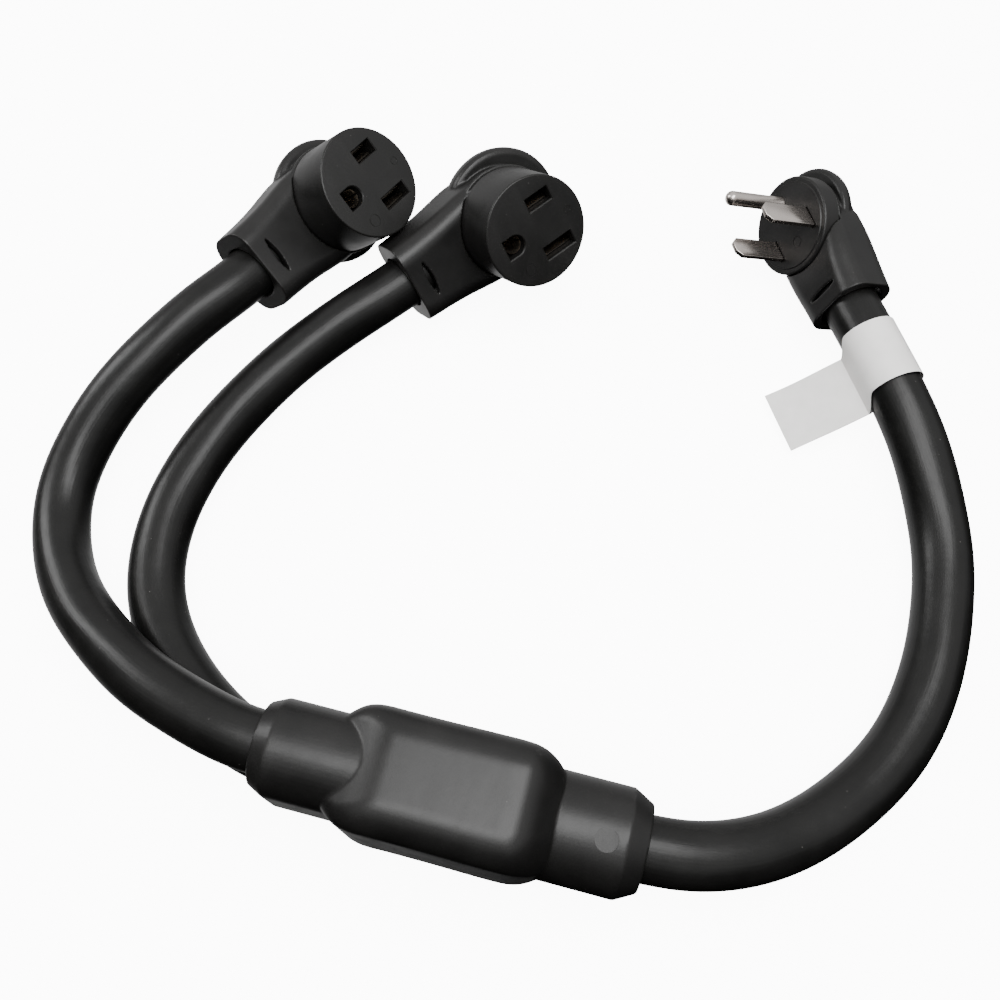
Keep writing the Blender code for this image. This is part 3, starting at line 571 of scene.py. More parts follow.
def label_look():
    """Blank white vinyl film: very slightly mottled, with faint creases."""
    colour = (0.93, 0.915, 0.895)
    look = Look("label_vinyl", colour, 0.42)
    space = look.coordinates()
    mottle = look.noise(space, 120.0, 5.0, 0.6)
    look.into(look.spread(mottle, 0.3, 0.7, 0.36, 0.52), "Roughness")
    look.into(look.mix(look.spread(mottle, 0.3, 0.75), colour, (0.84, 0.825, 0.805)), "Base Color")
    fibre = look.bump(look.noise(space, 1500.0, 3.0), 0.00003, 0.25)
    creases = look.noise(look.coordinates((0.4, 1.0, 1.0)), 95.0, 2.0)
    look.into(look.bump(creases, 0.0004, 0.22, fibre), "Normal")
    return look.material


def insulation_look(name, colour):
    """Conductor insulation: plain coloured vinyl with smudges and a fine grain."""
    look = Look(name, colour, 0.45)
    space = look.coordinates(source="Object")
    smudge = look.noise(space, 240.0, 4.0, 0.6)
    look.into(look.spread(smudge, 0.3, 0.7, 0.38, 0.55), "Roughness")
    darker = tuple(0.7 * channel for channel in colour)
    look.into(look.mix(look.spread(smudge, 0.4, 0.75), colour, darker), "Base Color")
    look.into(look.bump(look.noise(space, 1300.0, 2.0), 0.00003, 0.3), "Normal")
    return look.material


OVERMOULD = moulded_look()
JACKET = jacket_look()
FACE = face_look()
NICKEL = metal_look("prong_nickel", (0.80, 0.735, 0.69), (0.55, 0.49, 0.44), 0.23,
                    (5200.0, 5200.0, 260.0), 0.35)
BRASS = metal_look("contact_brass", (0.36, 0.32, 0.27), (0.16, 0.14, 0.11), 0.30,
                   (2600.0, 2600.0, 300.0), 0.7)
COPPER = metal_look("crimp_copper", (0.72, 0.38, 0.24), (0.40, 0.20, 0.13), 0.36,
                    (300.0, 2600.0, 2600.0), 0.6, "Object")
LABEL = label_look()
LEAD_LOOKS = {
    "black_lead": insulation_look("lead_black", (0.02, 0.02, 0.02)),
    "white_lead": insulation_look("lead_white", (0.74, 0.73, 0.70)),
    "green_lead": insulation_look("lead_green", (0.03, 0.26, 0.08)),
}


def finish_piece(name, mesh, look, nodes, place=None):
    """Puts a piece in the scene for its CAD nodes, riding on the root body."""
    mesh = mesh.copy()
    mesh.name = name
    points = numbers(mesh.vertices, "co", 3, np.float32).ravel()
    mesh.attributes.new("local", "FLOAT_VECTOR", "POINT").data.foreach_set("vector", points)
    if place is not None:
        mesh.transform(place_matrix(place))
    mesh.materials.append(look)
    piece = add_object(name, mesh)
    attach(piece, "root")
    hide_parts(*nodes)
    return piece


# ---------------------------------------------------------------- cables


def smooth_samples(knots, start_direction, end_direction):
    """Points on a smooth curve through the knots, with the directions given at its ends."""
    samples_per_leg = 14
    lengths = [(after - before).length for before, after in zip(knots, knots[1:])]
    slopes = [(after - before) / length
              for before, after, length in zip(knots, knots[1:], lengths)]
    tangents = [start_direction]
    for index in range(1, len(knots) - 1):
        before, after = lengths[index - 1], lengths[index]
        blended = slopes[index - 1] * after + slopes[index] * before
        tangents.append(blended / (before + after))
    tangents.append(end_direction)
    samples = [knots[0]]
    for index, length in enumerate(lengths):
        for step in range(1, samples_per_leg + 1):
            t = step / samples_per_leg
            samples.append((2 * t**3 - 3 * t**2 + 1) * knots[index]
                           + (t**3 - 2 * t**2 + t) * length * tangents[index]
                           + (3 * t**2 - 2 * t**3) * knots[index + 1]
                           + (t**3 - t**2) * length * tangents[index + 1])
    return samples


def along(points, count):
    """The same line with its points evenly spaced, and its length."""
    line = np.array([tuple(point) for point in points])
    steps = np.linalg.norm(np.diff(line, axis=0), axis=1)
    travelled = np.concatenate([[0.0], np.cumsum(steps)])
    wanted = np.linspace(0.0, travelled[-1], count)
    columns = [np.interp(wanted, travelled, line[:, axis]) for axis in range(3)]
    return np.stack(columns, axis=1), travelled[-1]


def relaxed(line):
    """Evens out small kinks without moving the two ends or their directions."""
    line = line.copy()
    for _ in range(RELAXING_PASSES):
        line[2:-2] += 0.5 * ((line[1:-3] + line[3:-1]) / 2 - line[2:-2])
    return line


def jacket_mesh(name, line, radius):
    """A tube with a faint lay of the three conductors inside, and UVs along and round it."""
    count = len(line)
    tangents = np.gradient(line, axis=0)
    tangents /= np.linalg.norm(tangents, axis=1)[:, None]
    side = np.cross(tangents[0], (0.0, 0.0, 1.0))
    side /= np.linalg.norm(side)
    spacing = np.linalg.norm(np.diff(line, axis=0), axis=1)
    travelled = np.concatenate([[0.0], np.cumsum(spacing)])
    bm = bmesh.new()
    uv_layer = bm.loops.layers.uv.new("UVMap")
    rings = []
    for index in range(count):
        side = side - tangents[index] * side.dot(tangents[index])
        side /= np.linalg.norm(side)
        up = np.cross(side, tangents[index])
        distance = travelled[index]
        ring = []
        for step in range(JACKET_STEPS):
            angle = 2 * math.pi * step / JACKET_STEPS
            lay = math.cos(CONDUCTORS * (angle - 2 * math.pi * distance / LAY_LENGTH))
            slow = sum(math.sin(rate * distance + turns * angle) for rate, turns in SLOW_WAVES)
            reach = radius * (1.0 + LAY_SHARE * lay + SLOW_SHARE * slow)
            point = line[index] + reach * (math.cos(angle) * side + math.sin(angle) * up)
            ring.append(bm.verts.new(point))
        rings.append(ring)
    for number, face in enumerate(bridge(bm, rings)):
        index, step = divmod(number, JACKET_STEPS)
        corners = ((index, step), (index, step + 1), (index + 1, step + 1), (index + 1, step))
        for loop, (row, column) in zip(face.loops, corners):
            loop[uv_layer].uv = (travelled[row], 2 * math.pi * radius * column / JACKET_STEPS)
    bm.faces.new(rings[0])
    bm.faces.new(rings[-1])
    mesh = to_mesh(bm, name)
    return crisp(mesh, 50.0)


def cable(name, node, radius, start, start_direction, middle, end, end_direction, tuck):
    """A jacket on the CAD tube's route, run on a little into the moulding at each end."""
    first = start + start_direction * GAP
    last = end - end_direction * GAP
    inner = [first + start_direction * CABLE_STUB, *(Vector(point) * MM for point in middle),
             last - end_direction * CABLE_STUB]
    samples = smooth_samples(inner, start_direction, end_direction)
    route = [start - start_direction * tuck[0], first, *samples, last,
             end + end_direction * tuck[1]]
    line = relaxed(along(route, JACKET_RINGS)[0])
    piece = finish_piece(name, jacket_mesh(name, line, radius), JACKET,
                         [node])
    return piece


# ---------------------------------------------------------------- mouldings


def finger_grip(profile, centre_x, cut_x):
    """A turned lip behind the face, kept on the side away from the cable."""
    grip = turned(in_mm(profile), centre_x=centre_x)
    reach = 60 * MM
    return fused("grip", [grip], [box((cut_x, -reach, -reach), (reach, reach, reach))])


def cable_hole(radius, end_x, axis, shift=0.0):
    """A cutter for the hole in a neck's end that a cable goes into."""
    start, stop = end_x - 9 * MM, end_x + 5 * MM
    return cylinder(radius, (start, shift, axis), (stop, shift, axis), HOLE_STEPS)


def relief_slots(centre_x, half_length, half_width, front, back):
    """Cutters for a strain-relief slot in the front and one in the back of a neck."""
    outline = lens(centre_x, half_length, half_width)
    past = 8 * MM
    return [prism(outline, front, front + past), prism(outline, back - past, back)]


def receptacle_moulding():
    """Neck, back and finger grip of a receptacle, with its cable hole and strain-relief slots."""
    stations = [
        (-8.0, 13.0, -45.0, -29.0, 5.5), (-2.0, 17.2, -47.2, -26.0, 6.2),
        (5.0, 20.4, -48.0, -23.4, 6.6), (13.0, 20.5, -48.4, -22.6, 6.8),
        (20.0, 19.6, -48.4, -22.4, 7.0), (28.0, 18.4, -48.4, -22.4, 7.2),
        (36.0, 17.7, -48.4, -22.4, 7.6), (43.0, 17.4, -48.4, -22.4, 8.0),
        (48.5, 17.2, -48.2, -22.6, 8.2),
    ]
    neck = station_loft(stations, 7)
    seat = -DRUM_DEPTH - GAP
    back = turned([
        (0.0, seat + 0.5 * MM), (20.6 * MM, seat + 0.5 * MM), (20.6 * MM, seat - 0.9 * MM),
        (22.5 * MM, seat - 1.0 * MM), (22.5 * MM, seat - 2.2 * MM), (21.6 * MM, seat - 3.0 * MM),
        (20.9 * MM, seat - 3.8 * MM), (20.7 * MM, -37.0 * MM), (0.0, -37.0 * MM),
    ])
    grip = finger_grip([
        (0.0, -34.6), (23.8, -34.6), (25.2, -35.2), (26.0, -36.8), (26.0, -38.6), (25.6, -41.0),
        (24.8, -42.9), (23.2, -44.4), (17.0, -46.7), (9.0, -47.8), (0.0, -48.0),
    ], -4.0 * MM, 14 * MM)
    cuts = [
        cylinder(DRUM_RADIUS + GAP, (0, 0, seat), (0, 0, ABOVE_FACE)),
        cable_hole(11.35 * MM, RECEPTACLE_NECK_END, RECEPTACLE_AXIS),
        *relief_slots(40.8 * MM, 8.0 * MM, 1.35 * MM, -25.4 * MM, -45.4 * MM),
    ]
    solid = fused("receptacle_moulding", [neck, back, grip], cuts)
    return softened("receptacle_moulding", solid, VOXELS["receptacle"])


def plug_moulding():
    """Neck, back and pull grip of the plug, with a slightly wide cable hole and its slots."""
    stations = [
        (-6.0, 9.0, -22.4, -12.6, 4.6), (-1.0, 13.8, -22.8, -8.0, 6.0),
        (5.0, 17.2, -23.2, -3.8, 5.8), (11.0, 17.4, -23.9, -2.4, 6.2),
        (18.0, 16.9, -24.7, -1.4, 6.6), (26.0, 16.1, -25.2, -0.6, 7.2),
        (34.0, 15.4, -25.5, -0.4, 7.8), (42.0, 15.0, -25.5, -0.4, 8.2),
    ]
    neck = station_loft(stations, 7)
    seat = -DISC_DEPTH - GAP
    back = turned([
        (0.0, seat + 0.4 * MM), (19.4 * MM, seat + 0.4 * MM), (19.6 * MM, seat - 0.4 * MM),
        *in_mm([(19.2, -9.9), (17.4, -10.9), (16.9, -14.0), (16.6, -19.6), (14.6, -22.8),
                (10.0, -24.6), (0.0, -24.9)]),
    ])
    grip = finger_grip([
        (0.0, -12.4), (19.2, -12.4), (20.5, -13.1), (20.9, -15.0), (20.3, -17.4), (18.6, -18.8),
        (0.0, -19.0),
    ], -5.2 * MM, 8 * MM)
    cuts = [
        cylinder(DISC_RADIUS + GAP, (0, 0, seat), (0, 0, ABOVE_FACE)),
        cable_hole(11.45 * MM, PLUG_NECK_END, PLUG_AXIS, 1.5 * MM),
        cable_hole(11.45 * MM, PLUG_NECK_END, PLUG_AXIS, -1.5 * MM),
        *relief_slots(34.5 * MM, 8.2 * MM, 1.1 * MM, -3.4 * MM, -22.6 * MM),
    ]
    solid = fused("plug_moulding", [neck, back, grip], cuts)
    return softened("plug_moulding", solid, VOXELS["plug"])


def junction_moulding():
    """The block between its two collars, with a gate mark on the one-cable collar."""
    axis = JUNCTION_AXIS_HEIGHT
    end = JUNCTION_HALF_LENGTH
    block = station_loft([
        (-41.0, 12.8, 11.8, 49.8, 4.2), (-37.0, 16.4, 8.6, 52.6, 4.8),
        (-33.0, 19.0, 4.8, 55.4, 6.0), (-29.0, 20.1, 1.8, 57.9, 7.6),
        (-25.0, 20.4, 0.4, 59.8, 9.4), (-21.5, 20.4, 0.0, 60.8, 10.6), (-17.0, 20.4, 0.0, 61.0, 11.0),
        (-6.0, 20.4, 0.0, 61.0, 11.0), (12.0, 20.6, 0.0, 61.0, 11.0), (19.0, 20.6, 0.0, 61.0, 11.0),
        (23.4, 20.4, 0.6, 60.5, 11.1), (27.2, 19.7, 2.8, 58.4, 11.5), (30.6, 18.4, 7.0, 54.8, 12.2),
        (33.6, 16.4, 12.2, 50.0, 12.4), (36.0, 13.8, 17.2, 45.4, 11.6),
    ], 6)
    half_width, half_height = 16.3 * MM, 26.8 * MM

    def stadium(x, inset):
        return section(x, half_width - inset, axis - half_height + inset,
                       axis + half_height - inset, half_width - inset - 0.01 * MM)

    collar = loft([stadium(-end, 2.6 * MM), stadium(-end + 5.4 * MM, 0.0),
                   stadium(-10 * MM, 0.0)])
    radius = 18.0 * MM
    nose_start = end - 6.8 * MM
    trunk_collar = cylinder(radius, (5 * MM, 0, axis), (nose_start, 0, axis), FINE_STEPS)
    nose = cylinder(radius, (nose_start, 0, axis), (end, 0, axis), FINE_STEPS, radius - 3.7 * MM)
    past, dip, limb_height = 5 * MM, 1.2 * MM, axis + LIMB_SPACING / 2
    cuts = [
        cylinder(LIMB_RADIUS + 0.15 * MM, (-end - past, 0, limb_height),
                 (-end + dip, 0, limb_height), HOLE_STEPS, LIMB_RADIUS - 0.6 * MM),
        cylinder(TRUNK_RADIUS - 0.6 * MM, (end - dip, 0, axis), (end + past, 0, axis), HOLE_STEPS,
                 TRUNK_RADIUS + 0.9 * MM),
    ]
    solid = fused("junction_moulding", [block, collar, trunk_collar, nose], cuts)
    soft = softened("junction_moulding", solid, VOXELS["junction"])
    tilt = math.radians(8.3)
    outward = Vector((0.0, -math.sin(tilt), math.cos(tilt)))
    gate = Vector((50.5 * MM, 0.0, axis)) + (radius - 0.55 * MM) * outward
    mark = cylinder(3.8 * MM, gate, gate + past * outward, MARK_STEPS)
    return crisp(fused("junction_moulding", [soft], [mark]), 40.0)


# ---------------------------------------------------------------- faces, prongs and contacts


def rounded_edge(radius, top, fillet):
    """Profile points from the flat face, round a quarter circle, to the side wall."""
    steps = 6
    points = []
    for step in range(steps + 1):
        angle = math.pi / 2 * step / steps
        points.append((radius - fillet + fillet * math.sin(angle),
                       top - fillet + fillet * math.cos(angle)))
    return points


def ground_outline(margin=0.0):
    """A D: flat towards the neck and round towards the middle of the face."""
    steps = 24
    radius = GROUND_HOLE_RADIUS + margin
    centre = GROUND_HOLE_APEX + GROUND_HOLE_RADIUS
    points = [(GROUND_HOLE_FLAT + margin, radius)]
    for step in range(steps + 1):
        angle = math.pi / 2 + math.pi * step / steps
        points.append((centre + radius * math.cos(angle), radius * math.sin(angle)))
    points.append((GROUND_HOLE_FLAT + margin, -radius))
    return points


def hole_cut(inner, outer, rim, bottom):
    """A cutter for a hole through the face, flared over the last little way to its rim."""
    top = 3 * MM
    flare = (top + rim) / rim
    wide = [(a + (c - a) * flare, b + (d - b) * flare) for (a, b), (c, d) in zip(inner, outer)]
    return loft([[Vector((x, y, level)) for x, y in outline]
                 for outline, level in ((inner, bottom), (inner, -rim), (wide, top))])


def rectangle(centre, half_x, half_y):
    x, y = centre
    return [(x - half_x, y - half_y), (x + half_x, y - half_y),
            (x + half_x, y + half_y), (x - half_x, y + half_y)]


def ring_groove(centre, radius, width, depth):
    """A cutter for a shallow ring pressed into the face."""
    outer = cylinder(radius + width / 2, (*centre, -depth), (*centre, 1 * MM), MARK_STEPS)
    inner = cylinder(radius - width / 2, (*centre, -2 * depth), (*centre, 2 * MM), MARK_STEPS)
    return fused("ring", [outer], [inner])


def face_disc(profile, radius, depth):
    """A turned face core: the front's profile, then the side wall and an eased back edge."""
    ease = 0.5 * MM
    return turned([*profile, (radius, -depth + ease), (radius - ease, -depth), (0.0, -depth)],
                  FINE_STEPS)


def receptacle_face():
    """The drum, its slots and ground hole with eased rims, and two ejector marks."""
    profile = [(0.0, 0.0), *rounded_edge(DRUM_RADIUS, 0.0, 0.7 * MM)]
    drum = face_disc(profile, DRUM_RADIUS, DRUM_DEPTH)
    bottom = -DRUM_DEPTH - 3 * MM
    rim = 0.4 * MM
    cuts = []
    for side, length in SLOT_LENGTHS.items():
        centre = (SLOT_X, side * LINE_OFFSET)
        mouth = rectangle(centre, length / 2 + rim, SLOT_WIDTH / 2 + rim)
        cuts.append(hole_cut(rectangle(centre, length / 2, SLOT_WIDTH / 2), mouth, rim, bottom))
    cuts.append(hole_cut(ground_outline(), ground_outline(rim), rim, bottom))
    cuts.append(ring_groove((9.0 * MM, 12.3 * MM), 2.4 * MM, 0.35 * MM, 0.18 * MM))
    cuts.append(ring_groove((-15.6 * MM, 0.0), 1.5 * MM, 0.3 * MM, 0.15 * MM))
    return crisp(fused("receptacle_face", [drum], cuts), 28.0)


def plug_face():
    """The disc that holds the prongs, with a slightly raised land and openings for the prongs."""
    step_down = -0.35 * MM
    profile = [(0.0, 0.0), (17.6 * MM, 0.0), (17.9 * MM, step_down), (18.6 * MM, step_down),
               *rounded_edge(DISC_RADIUS, step_down, 0.9 * MM)]
    disc = face_disc(profile, DISC_RADIUS, DISC_DEPTH)
    cuts = []
    past = 3 * MM
    for side in (-1, 1):
        centre = (BLADE_X, side * LINE_OFFSET)
        cuts.append(prism(rectangle(centre, BLADE_WIDTH / 2 + GAP, BLADE_THICKNESS / 2 + GAP),
                          -DISC_DEPTH - past, past))
    cuts.append(cylinder(PIN_RADIUS + GAP, (PIN_X, 0, -DISC_DEPTH - past), (PIN_X, 0, past),
                         MARK_STEPS))
    cuts.append(ring_groove((8.6 * MM, 0.0), 2.2 * MM, 0.35 * MM, 0.18 * MM))
    return crisp(fused("plug_face", [disc], cuts), 28.0)


def blade():
    """A flat blade with chamfered tip corners and eased edges, standing in the XZ plane."""
    half = BLADE_WIDTH / 2
    tip = BLADE_LENGTH - BLADE_CHAMFER
    outline = [(-half, PRONG_ROOT), (half, PRONG_ROOT), (half, tip),
               (half - BLADE_CHAMFER, BLADE_LENGTH), (BLADE_CHAMFER - half, BLADE_LENGTH),
               (-half, tip)]
    mesh = prism(outline, -BLADE_THICKNESS / 2, BLADE_THICKNESS / 2, axis="Y")
    bm = bmesh.new()
    bm.from_mesh(mesh)
    bmesh.ops.bevel(bm, geom=bm.edges[:], offset=0.32 * MM, segments=3, profile=0.5,
                    affect="EDGES")
    return crisp(to_mesh(bm, "blade"), 40.0)


def ground_pin():
    """A round pin with a domed tip and a faint shoulder where it leaves the face."""
    profile = [(0.0, PIN_LENGTH)]
    dome = 2.6 * MM
    dome_steps = 12
    for step in range(1, dome_steps + 1):
        angle = math.pi / 2 * step / dome_steps
        profile.append((PIN_RADIUS * math.sin(angle), PIN_LENGTH - dome + dome * math.cos(angle)))
    shoulder = PIN_RADIUS + 0.12 * MM
    profile += [(PIN_RADIUS, 12 * MM), (PIN_RADIUS, 1.2 * MM), (shoulder, 0.9 * MM),
                (shoulder, PRONG_ROOT), (0.0, PRONG_ROOT)]
    return crisp(turned(profile, 72), 40.0)


def strip(points, thickness):
    """A thin leaf's outline from the line down its middle."""
    line = [Vector((x, z)) for x, z in points]
    sides = ([], [])
    for index, point in enumerate(line):
        before = line[max(index - 1, 0)]
        after = line[min(index + 1, len(line) - 1)]
        direction = (after - before).normalized()
        normal = Vector((-direction.y, direction.x)) * thickness / 2
        sides[0].append(point + normal)
        sides[1].append(point - normal)
    return [tuple(point) for point in sides[0] + sides[1][::-1]]


def line_contact(length):
    """Two sprung leaves with flared mouths, bent from one strip of metal, in a slot's frame."""
    thickness = 0.7 * MM
    line = in_mm([(2.1, -4.4), (1.55, -6.0), (1.15, -7.8), (1.2, -9.6), (1.7, -11.6),
                  (1.95, -14.5), (1.9, -21.4), (1.5, -22.8), (0.6, -23.6)])
    line += [(-x, z) for x, z in line[::-1]]
    outline = strip(line, thickness)
    half = length / 2 - 0.5 * MM
    bm = skinned([[(level, y, z) for y, z in outline] for level in (-half, half)])
    bmesh.ops.triangulate(bm, faces=[face for face in bm.faces if len(face.verts) > 4])
    return crisp(to_mesh(bm, "line_contact"), 35.0)


def ground_contact():
    """A rolled sleeve with a belled mouth and a slit down one side."""
    sleeve = turned(in_mm([
        (0.0, -22.6), (2.95, -22.6), (2.95, -6.0), (3.1, -4.2), (3.45, -3.2), (3.62, -2.9),
        (3.72, -3.15), (3.6, -4.4), (3.55, -6.2), (3.6, -24.1), (0.0, -24.1),
    ]), HOLE_STEPS)
    slit = box((-6 * MM, -0.35 * MM, -20 * MM), (-1 * MM, 0.35 * MM, 0.0))
    return crisp(fused("ground_contact", [sleeve], [slit]), 40.0)


def moved(mesh, offset):
    mesh.transform(Matrix.Translation(Vector(offset)))
    return mesh


# ---------------------------------------------------------------- connectors


def add_connector(prefix, place, rows):
    """One connector's pieces, each standing for the CAD node of its row."""
    return [finish_piece(f"{prefix}_{piece}", mesh, look, [f"{prefix}_{node}"], place)
            for piece, node, mesh, look, slot in rows]


def beside(mesh, side, x):
    """A line contact or blade moved to its own side of the face."""
    return moved(mesh, (x, side * LINE_OFFSET, 0.0))


SLEEVE_X = GROUND_HOLE_APEX + 4.1 * MM
receptacle_rows = [
    ("moulding", "overmould", receptacle_moulding(), OVERMOULD, "black_overmould"),
    ("face", "face_core", receptacle_face(), FACE, "black_face_core"),
    *((f"line_spring_{number}", f"line_contact_{number}",
       beside(line_contact(SLOT_LENGTHS[side]), side, SLOT_X), BRASS, "brass_contact")
      for number, side in ((1, -1), (2, 1))),
    ("ground_sleeve", "ground_contact", moved(ground_contact(), (SLEEVE_X, 0.0, 0.0)), BRASS,
     "brass_contact"),
]
plug_rows = [
    ("moulding", "overmould", plug_moulding(), OVERMOULD, "black_overmould"),
    ("face", "face_core", plug_face(), FACE, "black_face_core"),
    *((f"blade_{number}", f"line_blade_{number}", beside(blade(), side, BLADE_X), NICKEL,
       "nickel_prong") for number, side in ((1, -1), (2, 1))),
    ("pin", "ground_pin", moved(ground_pin(), (PIN_X, 0.0, 0.0)), NICKEL, "nickel_prong"),
]
receptacle_a_pieces = add_connector("receptacle_a", RECEPTACLE_A_PLACE, receptacle_rows)
receptacle_b_pieces = add_connector("receptacle_b", RECEPTACLE_B_PLACE, receptacle_rows)
plug_pieces = add_connector("plug", PLUG_PLACE, plug_rows)
finish_piece("junction_moulding", junction_moulding(), OVERMOULD,
             ["junction_body"])


# ---------------------------------------------------------------- label


LABEL_REACH = 45.8 * MM
LABEL_JOIN = 13.0 * MM
LABEL_HALF_WIDTH = 13.0 * MM
LABEL_FILM = 0.17 * MM
LABEL_DROOP = math.radians(27.5)
LABEL_RADIUS = TRUNK_RADIUS + 0.45 * MM
LABEL_LEAVE = math.acos(LABEL_RADIUS / LABEL_JOIN)
LABEL_CONTACT = LABEL_RADIUS * math.cos(LABEL_LEAVE)


def label_outline():
    """The strip seen along the cable: in from the flag's end, round the cable and out again."""
    flag_steps, join_steps, wrap_steps = 24, 7, 95
    rise = LABEL_RADIUS * math.sin(LABEL_LEAVE) - LABEL_FILM
    inward = [(LABEL_REACH + (LABEL_JOIN - LABEL_REACH) * step / flag_steps, LABEL_FILM)
              for step in range(flag_steps + 1)]
    for step in range(1, join_steps):
        t = step / join_steps
        inward.append((LABEL_JOIN + (LABEL_CONTACT - LABEL_JOIN) * t, LABEL_FILM + rise * t))
    wrap = []
    for step in range(wrap_steps + 1):
        angle = LABEL_LEAVE + (2 * math.pi - 2 * LABEL_LEAVE) * step / wrap_steps
        wrap.append((LABEL_RADIUS * math.cos(angle), LABEL_RADIUS * math.sin(angle)))
    return inward + wrap + [(x, -y) for x, y in inward[::-1]]


def label_wrap():
    """A strip wrapped round the trunk cable, its two ends stuck together as a drooping flag."""
    centre = Vector(TRUNK_ROUTE[LABEL_KNOT]) * MM
    nearer, farther = Vector(TRUNK_ROUTE[LABEL_KNOT + 1]), Vector(TRUNK_ROUTE[LABEL_KNOT - 1])
    direction = (farther - nearer).normalized()
    sideways = direction.cross(Vector((0, 0, 1))).normalized()
    upward = sideways.cross(direction)
    flag = sideways * math.cos(LABEL_DROOP) - upward * math.sin(LABEL_DROOP)
    across = direction.cross(flag)
    outline = label_outline()
    columns = 27
    bm = bmesh.new()
    grid = []
    for column in range(columns):
        along_axis = -LABEL_HALF_WIDTH + 2 * LABEL_HALF_WIDTH * column / (columns - 1)
        row = []
        for x, y in outline:
            out = max(0.0, (x - LABEL_JOIN) / (LABEL_REACH - LABEL_JOIN))
            curl = -1.5 * MM * out * out + 0.55 * MM * math.sin(5.0 * out + 90.0 * along_axis)
            ramp_start = LABEL_CONTACT - 2 * MM
            t = min(1.0, max(0.0, (x - ramp_start) / (LABEL_JOIN - ramp_start)))
            drift = 5.0 * MM * t * t * (3 - 2 * t)
            row.append(bm.verts.new(centre + flag * x + across * (y + curl * out)
                                    + direction * (along_axis + drift)))
        grid.append(row)
    bridge(bm, grid, closed=False)
    obj = add_object("film", to_mesh(bm, "film"))
    thick = obj.modifiers.new("film", "SOLIDIFY")
    thick.thickness = 0.22 * MM
    thick.offset = 0.0
    result = evaluated_mesh(obj)
    discard(obj)
    result.name = "label_wrap"
    return crisp(result, 40.0)


label = finish_piece("label_wrap", label_wrap(), LABEL, ["cable_label"])


# ---------------------------------------------------------------- cables in place

along_x = Vector((1.0, 0.0, 0.0))
limb_exit_a = Vector((-JUNCTION_HALF_LENGTH, 0.0, JUNCTION_AXIS_HEIGHT + LIMB_SPACING / 2))
limb_exit_b = Vector((-JUNCTION_HALF_LENGTH, 0.0, JUNCTION_AXIS_HEIGHT - LIMB_SPACING / 2))
trunk_exit = Vector((JUNCTION_HALF_LENGTH, 0.0, JUNCTION_AXIS_HEIGHT))
tuck_in_junction, tuck_in_neck = 4 * MM, 8.5 * MM


def neck_end(place, end_x, axis):
    matrix = place_matrix(place)
    return matrix @ Vector((end_x, 0.0, axis)), (matrix.to_3x3() @ along_x).normalized()


for letter, place, route, exit_point, pieces in (
        ("a", RECEPTACLE_A_PLACE, LIMB_A_ROUTE, limb_exit_a, receptacle_a_pieces),
        ("b", RECEPTACLE_B_PLACE, LIMB_B_ROUTE, limb_exit_b, receptacle_b_pieces)):
    start, out = neck_end(place, RECEPTACLE_NECK_END, RECEPTACLE_AXIS)
    cable(f"limb_{letter}_jacket", f"limb_{letter}_cable", LIMB_RADIUS, start, out, route,
          exit_point, along_x, (tuck_in_neck, tuck_in_junction))
end, out = neck_end(PLUG_PLACE, PLUG_NECK_END, PLUG_AXIS)
cable("trunk_jacket", "trunk_cable", TRUNK_RADIUS, trunk_exit, along_x, TRUNK_ROUTE, end, -out,
      (tuck_in_junction, tuck_in_neck))


# ---------------------------------------------------------------- CAD nodes that stay

for node_name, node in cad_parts.items():
    look = None
    if "_lead" in node_name:
        slot_name = {"1": "black_lead", "2": "white_lead"}.get(node_name[-1], "green_lead")
        look = LEAD_LOOKS[slot_name]
    elif "crimp" in node_name:
        look = COPPER
    if look is not None:
        node.data.materials.clear()
        node.data.materials.append(look)


# ---------------------------------------------------------------- camera, floor and light

CAMERA_LENS = 39.6
CAMERA_SENSOR = 36.0
CAMERA_PLACE = Vector((27.6, -45.6, 401.9)) * MM
CAMERA_AIM = Vector((-13.7, 115.1, 11.0)) * MM
FLOOR_GLOW = 10.0
FLOOR_REACH = 20.0
BELOW_OBJECT = 0.1 * MM


def add_camera():
    data = bpy.data.cameras.new("camera")
    data.lens = CAMERA_LENS
    data.sensor_width = CAMERA_SENSOR
    data.clip_start = 0.01
    bpy.context.scene.camera = add_aimed("camera", data, CAMERA_PLACE, CAMERA_AIM)


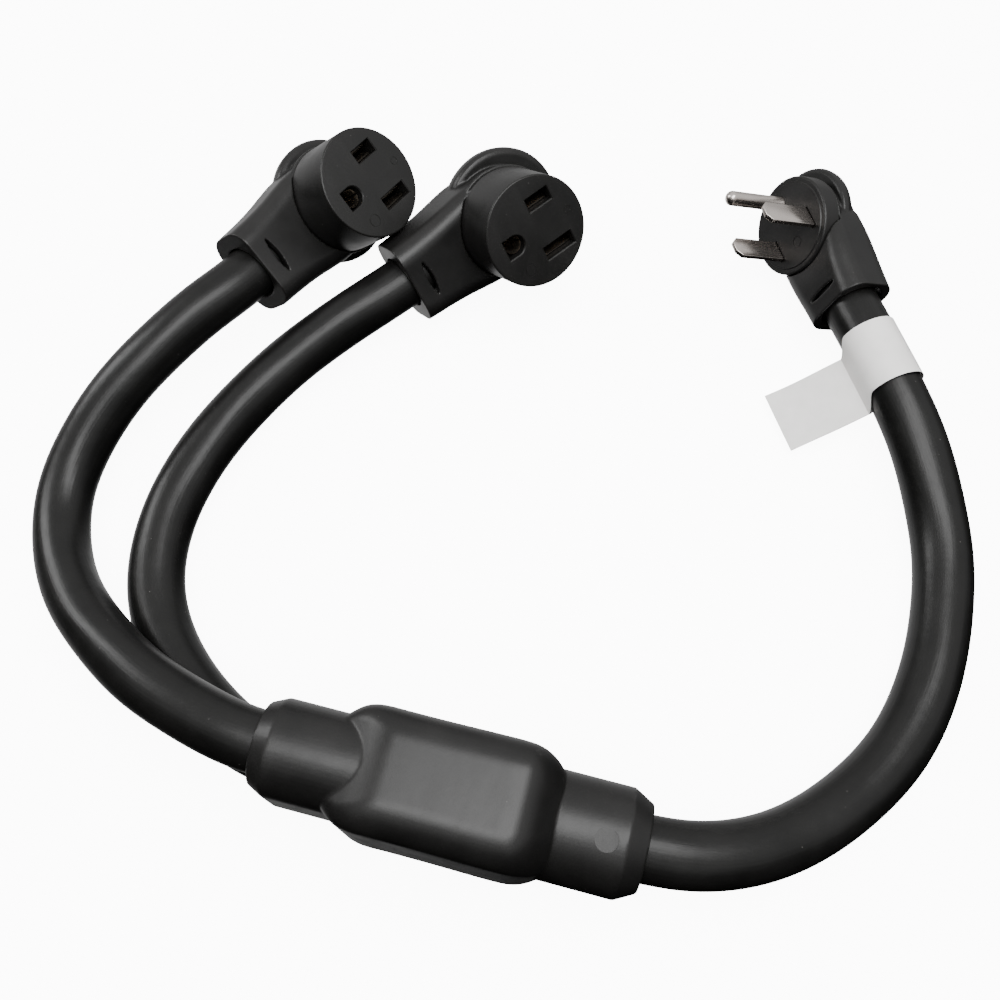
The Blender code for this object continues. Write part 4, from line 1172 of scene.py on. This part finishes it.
def add_floor():
    """A pale glowing ground that neither lights the object nor shows in its gloss."""
    look = Look("studio_floor", (0.93, 0.93, 0.93), 0.75)
    mottle = look.noise(look.coordinates(source="Object"), 9.0, 3.0)
    look.into(look.mix(look.spread(mottle, 0.3, 0.7), (0.925, 0.925, 0.925), (0.935, 0.935, 0.935)),
              "Base Color")
    look.shader.inputs["Emission Color"].default_value = (1.0, 1.0, 1.0, 1.0)
    look.shader.inputs["Emission Strength"].default_value = FLOOR_GLOW
    bm = bmesh.new()
    bmesh.ops.create_grid(bm, x_segments=2, y_segments=2, size=FLOOR_REACH)
    floor = add_object("floor", to_mesh(bm, "floor"))
    floor.location.z = -BELOW_OBJECT
    floor.data.materials.append(look.material)
    floor.visible_glossy = False
    floor.visible_diffuse = False


def add_light(name, location, aim, size, power):
    data = bpy.data.lights.new(name, "AREA")
    data.shape = "RECTANGLE"
    data.size, data.size_y = size
    data.energy = power
    return add_aimed(name, data, location, aim)


def add_world():
    """A surround with soft bright patches overhead, behind and low at the far left, which the
    gloss reflects in place of the glowing floor. The camera sees it as pale as the floor."""
    world = bpy.data.worlds.new("studio")
    bpy.context.scene.world = world
    sky = NodeTree(world)
    outward = sky.node("ShaderNodeTexCoord").outputs["Generated"]

    def glow_towards(direction, edge, full, brightest):
        """Bright round one direction, from nothing at one cosine to its brightest at another."""
        cosine = sky.node("ShaderNodeVectorMath", operation="DOT_PRODUCT")
        cosine.inputs[1].default_value = Vector(direction).normalized()
        sky.links.new(outward, cosine.inputs[0])
        return sky.spread(cosine.outputs["Value"], edge, full, 0.0, brightest, "SMOOTHSTEP")

    above = glow_towards((0.1, 0.25, 0.96), 0.1, 0.65, 0.78)
    behind = glow_towards((-0.35, 0.90, -0.25), 0.3, 0.9, 0.5)
    below = glow_towards((-0.50, 0.45, -0.74), 0.6, 0.9, 0.9)
    camera_rays = sky.node("ShaderNodeLightPath").outputs["Is Camera Ray"]
    seen = sky.math("MULTIPLY", camera_rays, FLOOR_GLOW + 0.5)
    glow = sky.math("MAXIMUM", sky.math("MAXIMUM", above, behind), below)
    background = sky.nodes["Background"]
    sky.links.new(sky.math("MAXIMUM", glow, seen), background.inputs["Strength"])
    background.inputs["Color"].default_value = (1.0, 1.0, 1.0, 1.0)


add_camera()
add_floor()
add_world()
add_light("overhead", (0.08, 0.03, 1.0), (0.0, 0.1, 0.0), (0.95, 0.48), 8.0)
add_light("left", (-0.95, 0.30, 0.46), (-0.05, 0.15, 0.02), (0.3, 0.5), 2.8)
matt_fill = add_light("fill", (0.0, 0.1, 1.2), (0.0, 0.1, 0.0), (1.2, 1.2), 14.0)
matt_fill.visible_glossy = False
